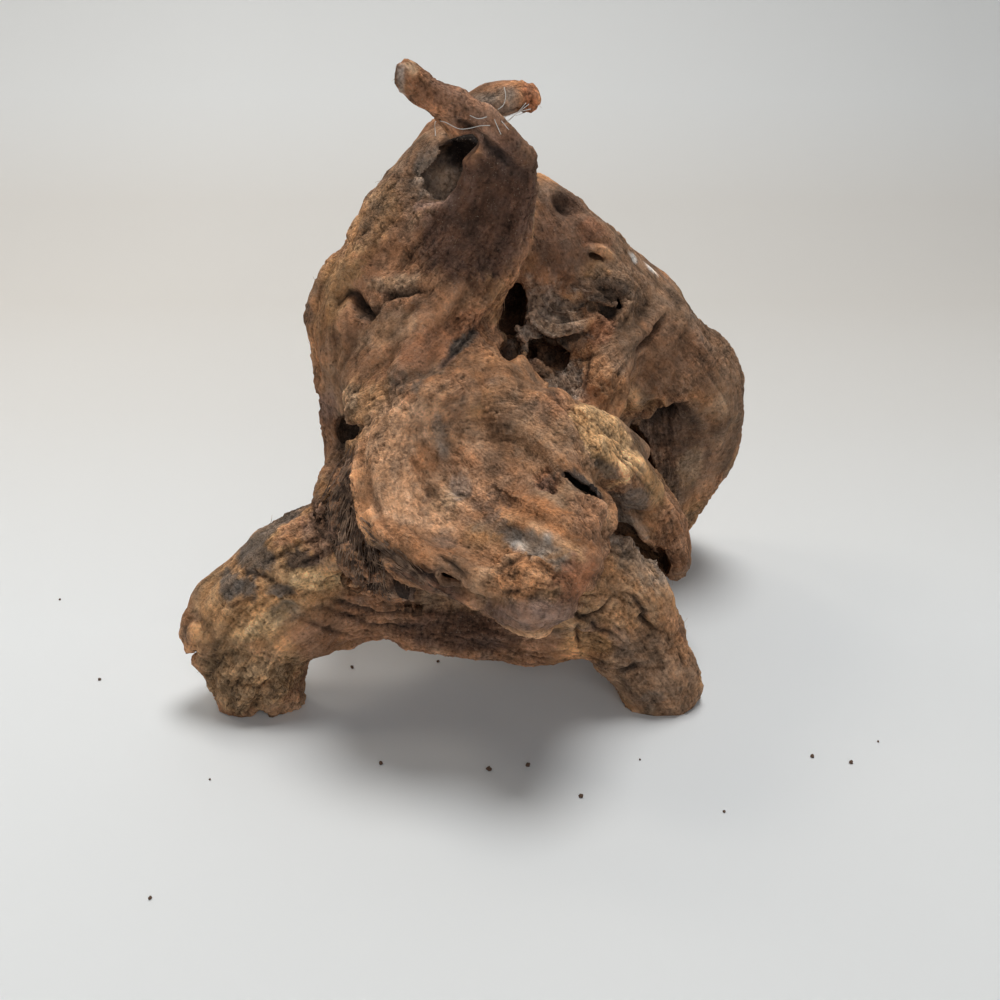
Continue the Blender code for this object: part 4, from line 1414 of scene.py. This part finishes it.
def makeSilk():
    allSpots, allFaces = [], []
    for pixelLine, front, *anchor in silk.values():
        fine = pointsAlong(pixelLine, np.linspace(0, len(pixelLine) - 1, 4 * len(pixelLine)))
        path = pixelsAtDepth(fine, *anchor) if anchor else np.array([pixelHit(u, v) for u, v in fine])
        spots, faces = tube(rounded(path - lookForward * front * mm, 4), 0.13 * mm, 5)
        allFaces += [[i + sum(map(len, allSpots)) for i in face] for face in faces]
        allSpots.append(spots)
    piece = addPiece("root_silk", np.concatenate(allSpots), allFaces,
        plainMaterial("silk", (0.8, 0.78, 0.74), 0.5))
    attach(piece, "root")


makeFibres()
makeWeb()
makeSilk()
report("fibres and silk")

# The studio: a pale sweep, a big soft light above and a little behind, and a pale sky

studio = {
    # painted light and shade on the sweep: lighter near the camera, darker and warmer towards the bend, a
    # little lighter up the wall
    "tones": [(0.0, (0.79, 0.82, 0.84)), (0.88, (0.71, 0.73, 0.74)), (0.25, (0.71, 0.71, 0.7)),
        (0.5, (0.66, 0.645, 0.62)), (0.74, (0.66, 0.65, 0.63))],
    "reach": 6.0, "height": 2.6, "paperRoughness": 0.75,
    "rightShade": 0.8, "sky": (0.9, 0.95, 1.0), "skyStrength": 0.14,
    "bendStart": 0.55, "bendSize": 0.5,
    "lights": {    # direction from the root, distance, size, power and colour
        "overhead": ((0.1, 0.17, 1.0), 2.0, 0.95, 27.5, (1.0, 0.98, 0.95)),
        "front": ((0.15, -1.0, 0.55), 1.8, 1.2, 5.6, (1.0, 0.98, 0.96)),
        "backLeft": ((-0.45, 0.66, 1.0), 1.8, 0.4, 2.0, (1.0, 0.88, 0.72)),
        "left": ((-0.8, 0.2, 1.0), 1.8, 0.5, 3.2, (1.0, 0.88, 0.74)),
    },
}


def makeStudio():
    scene = bpy.context.scene
    # the sweep's profile: flat floor, a quarter circle, and a wall
    bend = np.linspace(0, math.pi / 2, 25)
    ys = np.concatenate([[-studio["reach"]], studio["bendStart"] + studio["bendSize"] * np.sin(bend),
        [studio["bendStart"] + studio["bendSize"]]])
    zs = np.concatenate([[0.0], studio["bendSize"] * (1 - np.cos(bend)), [studio["height"]]])
    count = len(ys)
    corners = np.concatenate([np.stack([np.full(count, x), ys, zs], 1) for x in (-studio["reach"],
        studio["reach"])])
    row = np.arange(count - 1)
    faces = np.stack([row, row + count, row + count + 1, row + 1], 1)
    mesh = meshFrom("paleSweep", corners, faces)
    mesh.polygons.foreach_set("use_smooth", np.ones(len(mesh.polygons), bool))
    floor = bpy.data.objects.new("paleSweep", mesh)
    scene.collection.objects.link(floor)
    material = bpy.data.materials.new("palePaper")
    material.use_nodes = True
    tree = material.node_tree
    surface = tree.nodes["Principled BSDF"]
    surface.inputs["Roughness"].default_value = studio["paperRoughness"]
    place = addNode(tree, "ShaderNodeTexCoord").outputs["Object"]
    apart = addNode(tree, "ShaderNodeSeparateXYZ", None, Vector=place)
    ramp = tree.nodes.new("ShaderNodeValToRGB")
    tree.links.new(ranged(tree, apart.outputs["Y"], 0.0, 1.0, 0.0, 1.0), ramp.inputs[0])
    for stop, (where, colour) in zip((ramp.color_ramp.elements[0], ramp.color_ramp.elements[1]),
        studio["tones"][:2]):
        stop.position, stop.color = where, (*colour, 1)
    for where, colour in studio["tones"][2:]:
        ramp.color_ramp.elements.new(where).color = (*colour, 1)
    # painted shade: the sweep darker towards the right
    darker = ranged(tree, apart.outputs["X"], -0.3, 0.5, 1.0, studio["rightShade"])
    tree.links.new(mixed(tree, 1.0, ramp.outputs[0], darker, "MULTIPLY"), surface.inputs["Base Color"])
    mesh.materials.append(material)
    world = bpy.data.worlds.new("paleSky")
    world.use_nodes = True
    background = world.node_tree.nodes["Background"]
    background.inputs[0].default_value = (*studio["sky"], 1)
    background.inputs[1].default_value = studio["skyStrength"]
    scene.world = world
    for name, (way, distance, size, power, colour) in studio["lights"].items():
        data = bpy.data.lights.new(name, "AREA")
        data.shape = "DISK"
        data.size = size
        data.energy = power
        data.color = colour
        lamp = bpy.data.objects.new(name, data)
        lamp.location = Vector(way).normalized() * distance + Vector((0, 0, 0.06))
        lamp.rotation_mode = "QUATERNION"
        lamp.rotation_quaternion = (-Vector(way)).to_track_quat("-Z", "Y")
        scene.collection.objects.link(lamp)
    scene.view_settings.view_transform = "Standard"


# Crumbs of wood on the floor: pixel and radius in mm.
crumbs = [(381, 764, 0.7), (489, 770, 0.9), (528, 766, 0.8), (581, 797, 0.8), (812, 757, 0.7),
    (851, 763, 0.7),
          (100, 680, 0.6), (150, 899, 0.6), (724, 812, 0.5), (60, 600, 0.5), (878, 742, 0.4), (438,
              662, 0.6),
          (352, 668, 0.7), (300, 640, 0.5), (640, 760, 0.4), (210, 780, 0.4)]


def makeCrumbs():
    draw = np.random.default_rng(3)
    ball, faces = unitBall(2)
    spots = []
    for u, v, radius in crumbs:
        ray = pixelRay(u, v)
        # the point of the floor behind the pixel
        spot = eye - ray * eye[2] / ray[2] + (0, 0, radius * 0.6 * mm)
        spots.append(spot + ball * radius * mm * draw.uniform(0.6, 1.2, len(ball))[:, None])
    faces = np.concatenate([faces + len(ball) * k for k in range(len(crumbs))]).tolist()
    mesh = meshFrom("floorCrumbs", np.concatenate(spots), faces)
    mesh.materials.append(plainMaterial("crumb", (0.12, 0.07, 0.045), 0.9))
    piece = bpy.data.objects.new("floorCrumbs", mesh)
    bpy.context.scene.collection.objects.link(piece)


makeStudio()
makeCrumbs()
report("studio")
